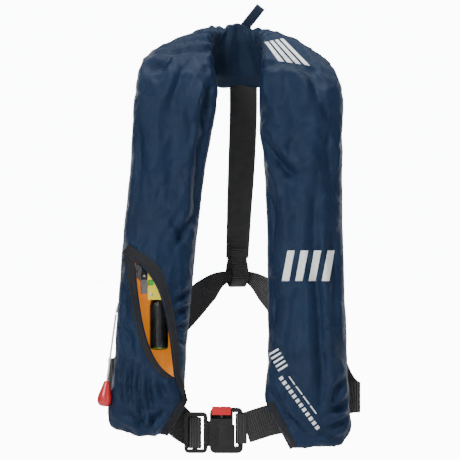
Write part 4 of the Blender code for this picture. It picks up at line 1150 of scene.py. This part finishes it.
def make_straps(finishes):
    """Back strap, side straps and the parts of the waist belt, along the routes of the frame's own."""
    webbing = finishes["webbing"]
    turned = np.array((math.cos(math.radians(35)), math.sin(math.radians(35)), 0))
    face = np.array((-turned[1], turned[0], 0))
    back = (
        ((7, 12.2, -27), (1, 0, 0)), ((7, 14.2, -58), (1, 0.05, 0)), ((5, 18, -120), (1, 0.2, 0)),
        ((1.5, 22, -190), (0.9, 0.45, 0)), ((-1, 24, -248), turned),
    )
    fold = (
        (-2.8, -236), (-4.2, -251), (-7.4, -262), (-6.4, -277), (0, -284.5),
        (6.4, -277), (7.4, -262), (4.2, -251), (2.8, -236),
    )
    end_loop = [(np.array((-1, 24, z)) + face * off, turned) for off, z in fold]
    pieces = {
        "back_strap": strap("webbing_back", back, 35, finishes["webbing_flat"], 14, cup=0.6),
        "back_strap_loop": strap("webbing_back_loop", end_loop, 25, webbing, 6),
    }
    left = [
        ((-3, 22.6, -269), DOWN), ((-13, 18, -271.5), DOWN), ((-26, 12.5, -277), (0.3, 0, -0.95)),
        ((-40, 6, -289), (0.55, -0.1, -0.8)), ((-60, -4, -309), (0.66, -0.1, -0.74)),
        ((-78, -13.6, -327), (0.6, 0, -0.75)),
    ]
    right = [
        ((1, 25.4, -269), UP), ((12, 30.4, -272), (0.1, 0, 1)), ((24, 23.5, -278), (0.5, 0.3, 0.8)),
        ((38, 10.5, -290), (0.6, 0.2, 0.76)), ((56, -5, -309), (0.66, 0.1, 0.74)),
        ((75, -16.2, -329), (0.7, 0, 0.7)),
    ]
    widths = [12, 14, 22, 32, 37, 39]
    for side, knots in (("left", left), ("right", right)):
        turn = slider_turn(side, -1)
        pieces[f"side_strap_{side}"] = strap(
            f"webbing_side_{side}", knots + turn, widths + [BELT_WIDTH] * len(turn), webbing, 6,
        )
    belt_left = slider_turn("left", 1) + [
        ((-130, -40.5, -378), (0.5, 0, -0.86)), ((-145, -44.2, -389), (0.3, 0, -0.95)),
        ((-155, -46.5, -393), DOWN), ((-161, -49.8, -393), DOWN), ((-162.5, -53.4, -393), DOWN),
        ((-160.5, -57, -393), DOWN), ((-154, -59.6, -393), DOWN), ((-146, -60, -394.5), (-0.2, 0, -0.98)),
        ((-136, -60, -401), (-0.4, 0, -0.92)), ((-122, -60, -411), (-0.5, 0, -0.86)),
        ((-100, -58.4, -430), (-0.5, 0, -0.86)), ((-80, -54.2, -448), (-0.5, 0, -0.86)),
        ((-67, -52.8, -460), (-0.3, 0, -0.95)), ((-57, -52.6, -465.4), (-0.1, 0, -1)),
        ((-50.4, -53.5, -467), DOWN), ((-47.2, -56.8, -467), DOWN), ((-46.8, -61.5, -467), DOWN),
        ((-49.4, -65.2, -467), DOWN), ((-54, -66, -467), DOWN), ((-58.2, -65.2, -467), DOWN),
        ((-60.3, -61.5, -467), DOWN), ((-60.5, -58.2, -467), DOWN), ((-61.9, -56.0, -467), DOWN),
        ((-66.8, -55.3, -467), DOWN),
    ]
    pieces["belt_left"] = strap("webbing_belt_left", belt_left, BELT_WIDTH, webbing, 5)
    belt_right = slider_turn("right", 1) + [
        ((118, -39.5, -383), (0.7, 0, 0.71)), ((127, -42.5, -403), (0.7, 0, 0.71)),
        ((134, -44.5, -413), (0.6, 0, 0.8)), ((141, -46, -419), (0.4, 0, 0.92)),
        ((148, -47.6, -422), (0.2, 0, 0.98)), ((152.3, -50.8, -422.5), UP), ((153.2, -54, -422.5), UP),
        ((151, -57.4, -422.5), UP), ((145, -59.6, -422.5), UP), ((137, -60, -424), (-0.1, 0, 1)),
        ((126, -60, -429), (-0.25, 0, 0.97)), ((112, -60, -437), (-0.14, 0, 1)),
        ((80, -60, -444), (-0.14, 0, 1)), ((52, -60, -448.6), (-0.17, 0, 1)),
    ]
    pieces["belt_right_back"] = strap("webbing_belt_right", belt_right, BELT_WIDTH, webbing, 5)
    span = [
        ((53, -60, -448.5), (-0.17, 0, 1)), ((38, -60.6, -451.8), (-0.17, 0, 1)),
        ((26, -60.8, -455.5), (-0.16, 0, 1)), ((14.5, -60, -459.2), UP), ((9, -60, -461), UP),
    ]
    pieces["belt_right_span"] = strap("webbing_belt_span", span, BELT_WIDTH, webbing, 8, thickness=2.6)
    ring = round_bar((2.9, -60.0), 5.3, 40, 320, 13)
    loop = [((x, y, -461.5), UP) for x, y in ((11, -58.4), *ring, (11, -61.6))]
    pieces["belt_right_loop"] = strap("webbing_buckle_loop", loop, BELT_WIDTH - 0.5, webbing, 4)
    for node, piece in pieces.items():
        belongs(piece, "buckle_half" if node == "belt_right_loop" else "jacket", "webbing", node)
    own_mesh(pieces["belt_right_span"])
    for k, z in enumerate((-222, -227, -232, -237)):
        middle = np.array((-0.7, 23.2 + (z + 237) * 0.03, z)) - face
        seam = [(middle + turned * t, -face) for t in np.linspace(-14.5, 14.5, 30)]
        belongs(stitches(f"stitches_back_{k}", seam, finishes["thread"], 2.4, 0.3), "jacket", "webbing")


def make_guides(finishes):
    """The bands sewn to the lining that keep the belt behind each lobe."""
    path = (
        (18.5, -63.1), (-19, -63.1), (-25, -62.4), (-27, -59.6), (-25, -56.6), (0, -55.6),
        (25, -56.6), (27, -59.6), (25, -62.4), (21, -63.1),
    )
    for side, x, z, tilt in (("left", -116, -418.4, -0.53), ("right", 98, -441, 0.12)):
        knots = [((x - tilt * up, y, z + up), (1, 0, tilt)) for up, y in path]
        guide = strap(f"webbing_guide_{side}", knots, 16, finishes["webbing"], 4, thickness=1.2)
        belongs(guide, "jacket", "webbing", f"belt_guide_{side}")


def make_closures(finishes):
    """Hook and loop tapes along the outer edges, between the cover's front and its lining."""
    surface = finishes["closure_tape"]
    rows, near, far = 40, 2.5, 11.5
    for side, first, last in (("left", 6.3, 8.6), ("right", 18.3, 22.8)):
        for kind, sign in (("hook", 1), ("loop", -1)):
            points, uv = [], []
            for row, at in enumerate(np.linspace(first, last, rows)):
                middle, half, normal, _ = strip_frame(at)
                for inwards, height in ((near, 0.3), (far, 0.3), (far, 1.15), (near, 1.15)):
                    points.append(middle + half - unit(half) * inwards + normal * sign * height)
                    uv.append((row * 0.004, inwards * MM))
            tape = object_from(f"closure_{kind}_tape_{side}", points, ring_faces(rows, 4), surface, uv, 40)
            belongs(face_outwards(tape), "jacket", "closure_tape", f"closure_{kind}_{side}")


def make_hang_loop(finishes):
    lean = unit((0.62, 0.0, 0.78))
    base = np.array((6.0, 3.0, 41.5))
    path = ((-3, 0), (10, -3.6), (24, -5), (33, -4), (37, 0.8), (33, 5.6), (24, 6.6), (10, 5.4), (-3, 3.2))
    knots = [(base + lean * along + np.array((0, y, 0)), (0.78, 0.0, -0.62)) for along, y in path]
    loop = strap("neck_hang_loop", knots, 12.5, finishes["loop_tape"], 6, thickness=1.2)
    belongs(loop, "jacket", "loop_tape", "hang_loop")


# ---- inside the opening --------------------------------------------------------------------------
def make_bladder(finishes):
    """The orange bladder, folded in long pleats inside the cover."""
    places = np.linspace(0.9, LAST - 0.9, 200)
    ring = 48
    points = []
    for at in places:
        middle, half, normal, (front, back, _) = strip_frame(at)
        beside = math.exp(-(((at - 4.75) / 1.75) ** 4))
        top = (front - 12) * 0.56 * (1 - beside) - 8.6 * beside
        low = -(back - 3.6)
        slim = 1 - 0.75 * math.exp(-(((at - 13) / 1.6) ** 4))  # the collar holds only a thin fold of it
        top, low = top * slim, low * slim
        for k in range(ring):
            angle = 2 * math.pi * k / ring
            across, height = 0.7 * math.cos(angle), math.sin(angle)
            level = (top + low) / 2 + (top - low) / 2 * math.copysign(abs(height) ** 0.6, height)
            place = middle + half * across + normal * level
            pleat = math.sin(across * 17 + 1.7 * noise.noise(Vector((at * 0.9, across, 0)))) * 1.1
            slack = 1.4 * noise.noise(Vector(place) * 0.05)
            points.append(place + normal * (pleat + slack - 1.2) * slim * (1 if height > 0 else 0.3))
    faces = ring_faces(len(places), ring)
    obj = face_outwards(object_from("bladder_folded", points, faces, finishes["bladder_cloth"], smooth=80))
    belongs(obj, "jacket", "bladder_cloth", "bladder")


def lathe(name, profile, matrix, surface, steps=48):
    """A turned solid from (radius, height) points in millimetres, bottom to top, about its own Z."""
    line = smooth_line([(r, h, 0) for r, h in profile], 4)
    points = [(0, 0, profile[0][1])]
    for r, h, _ in line:
        for k in range(steps):
            angle = 2 * math.pi * k / steps
            points.append((r * math.cos(angle), r * math.sin(angle), h))
    points.append((0, 0, profile[-1][1]))
    faces = []
    rings = len(line)
    for k in range(steps):
        after = (k + 1) % steps
        faces.append((0, 1 + after, 1 + k))
        faces.append((len(points) - 1, 1 + (rings - 1) * steps + k, 1 + (rings - 1) * steps + after))
        for r in range(rings - 1):
            a = 1 + r * steps
            faces.append((a + k, a + after, a + steps + after, a + steps + k))
    obj = object_from(name, points, faces, surface, smooth=40)
    obj.matrix_world = matrix
    return obj


def rounded_bar(finishes, name, low, high, body, slot):
    """A small raised bar with rounded edges, between two corners in millimetres."""
    low, high = np.array(low), np.array(high)
    bm = bmesh.new()
    bmesh.ops.create_cube(bm, size=1)
    bmesh.ops.scale(bm, vec=Vector((high - low) * MM), verts=bm.verts)
    bmesh.ops.translate(bm, vec=Vector((high + low) / 2 * MM), verts=bm.verts)
    round_off = min(high - low) * 0.3 * MM
    bmesh.ops.bevel(bm, geom=list(bm.edges), offset=round_off, segments=3, profile=0.5, affect="EDGES")
    mesh = bpy.data.meshes.new(name)
    bm.to_mesh(mesh)
    bm.free()
    mesh.shade_smooth()
    mesh.set_sharp_from_angle(angle=math.radians(40))
    belongs(show(name, mesh, finishes[slot]), body, slot)


def make_spring(finishes):
    """The coil under the release button, which the button presses flat."""
    turns, radius, wire, steps = 3, 1.9, 0.35, 20
    foot, top = np.array((-20.6, -60.0, -448.8)), -445.1
    coil = []
    for i in range(turns * steps + 1):
        angle = 2 * math.pi * i / steps
        rise = wire + (top - foot[2] - 2 * wire) * i / (turns * steps)
        coil.append(foot + (radius * math.cos(angle), radius * math.sin(angle), rise))
    spring = tube("button_coil", coil, wire, finishes["steel"], 8)
    belongs(spring, "buckle_half", "steel", "button_spring")
    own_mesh(spring)


def make_details(finishes):
    """Small moulded pieces on the inflator and the buckle, which ride with them."""
    low, high = (np.array(c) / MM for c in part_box("inflator_front_cover"))
    head = ((0.3, 0), (1.7, 0.1), (1.8, 0.6), (1.2, 0.9), (0.3, 0.95))
    place = Matrix.Translation(Vector((low[0] + 4.6, low[1] - 0.1, low[2] + 7.0)) * MM)
    screw = lathe("cover_screw", head, place @ Matrix.Rotation(math.pi / 2, 4, "X"), finishes["steel"], 20)
    belongs(screw, "jacket", "steel")
    for k in range(3):
        x, y, z = high[0] - 5.0 - 2.6 * k, low[1], high[2] - 7.0
        corners = (x - 0.6, y - 0.5, z - 12), (x + 0.6, y + 0.4, z)
        rounded_bar(finishes, f"cover_rib_{k}", *corners, "jacket", "yellow_plastic")
    low, high = (np.array(c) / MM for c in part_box("buckle_female"))
    for k in range(5):
        x, y, z = low + (0, 0, 9 + 5.0 * k)
        corners = (x + 3.5, y - 0.5, z), (x + 8.5, y + 0.5, z + 1.6)
        rounded_bar(finishes, f"buckle_rib_{k}", *corners, "buckle_half", "black_plastic")
    corners = low + (11.5, -0.35, 8), (high[0] - 10.5, low[1] + 0.5, low[2] + 36)
    rounded_bar(finishes, "buckle_panel", *corners, "buckle_half", "black_plastic")
    make_spring(finishes)
    low, high = (np.array(c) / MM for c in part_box("release_button"))
    for k in range(4):
        z = low[2] + 2.2 + 1.9 * k
        corners = (low[0] + 3, low[1] - 0.35, z), (high[0] - 3, low[1] + 0.4, z + 0.8)
        rounded_bar(finishes, f"button_rib_{k}", *corners, "button", "red_plastic")


# ---- cord and toggle -----------------------------------------------------------------------------
CORD_EXIT = np.array((-152.5, -86.5, -317.5))
TOGGLE_TOP = np.array((-163.6, -93.5, -401.0))
TOGGLE_LENGTH, TOGGLE_RADIUS, CORD_RADIUS = 32.0, 9.0, 1.3
CORD_INSIDE = 9.0  # how far the cord runs into the toggle


def make_cord(finishes):
    """The white pull cord that hangs out of the cover's edge, and the toggle on its end."""
    down = unit(TOGGLE_TOP - CORD_EXIT)
    length = np.linalg.norm(TOGGLE_TOP - CORD_EXIT) + CORD_INSIDE
    curve = bpy.data.curves.new("cord_hanging", "CURVE")
    curve.dimensions = "3D"
    curve.bevel_depth = CORD_RADIUS * MM
    curve.bevel_resolution = 4
    curve.use_fill_caps = True
    spline = curve.splines.new("POLY")
    places = [CORD_EXIT + down * t for t in np.linspace(0, length, 25)]
    spline.points.add(len(places) - 1)
    for point, place in zip(spline.points, places):
        point.co = (*(place * MM), 1)
    cord = show("cord_hanging", curve, finishes["cord_white"])
    belongs(cord, "toggle", "cord_white", "pull_cord")
    first, last = -29.0, -1.3  # the cord in the cover, measured from the exit
    stub = []
    for t in np.linspace(first, last, 16):
        inward = 6.5 * ((last - t) / (last - first)) ** 1.6  # it bends in behind the cover's edge
        stub.append(CORD_EXIT + down * t + (inward, 0, 0))
    upper = tube("cord_in_cover", stub, CORD_RADIUS, finishes["cord_white"], 12)
    belongs(upper, "pull_line", "cord_white", "pull_cord_upper")
    turn = Vector(UP).rotation_difference(Vector(-down)).to_matrix().to_4x4()
    matrix = Matrix.Translation(Vector((TOGGLE_TOP + down * TOGGLE_LENGTH) * MM)) @ turn
    r, n = TOGGLE_RADIUS, TOGGLE_LENGTH
    profile = (
        (r * 0.15, 0.0), (r * 0.52, 0.6), (r * 0.82, 2.6), (r * 0.98, 6), (r, 9.5), (r * 0.93, 14),
        (r * 0.77, 19.5), (r * 0.58, n - 6.5), (r * 0.45, n - 2), (r * 0.4, n - 0.7), (r * 0.3, n - 0.1),
        (r * 0.16, n),
    )
    toggle = lathe("toggle_pear", profile, matrix, finishes["toggle_plastic"])
    belongs(toggle, "toggle", "toggle_plastic", "pull_toggle")


def main():
    make_camera()
    make_studio()
    finishes = make_materials()
    finish_cad_nodes(finishes)
    make_cord(finishes)
    cover = make_covers(finishes)
    tree = make_bindings(cover, finishes)
    make_prints(tree, finishes)
    make_straps(finishes)
    make_guides(finishes)
    make_closures(finishes)
    make_hang_loop(finishes)
    make_bladder(finishes)
    make_patch(finishes)
    make_details(finishes)
    for node, width in (
        ("buckle_male", 1.2), ("buckle_female", 1.8), ("release_button", 1.0), ("side_slider_left", 0.8),
        ("side_slider_right", 0.8), ("inflator_body", 1.0), ("inflator_front_cover", 0.8),
        ("firing_lever", 0.6),
    ):
        soften(node, width)


main()
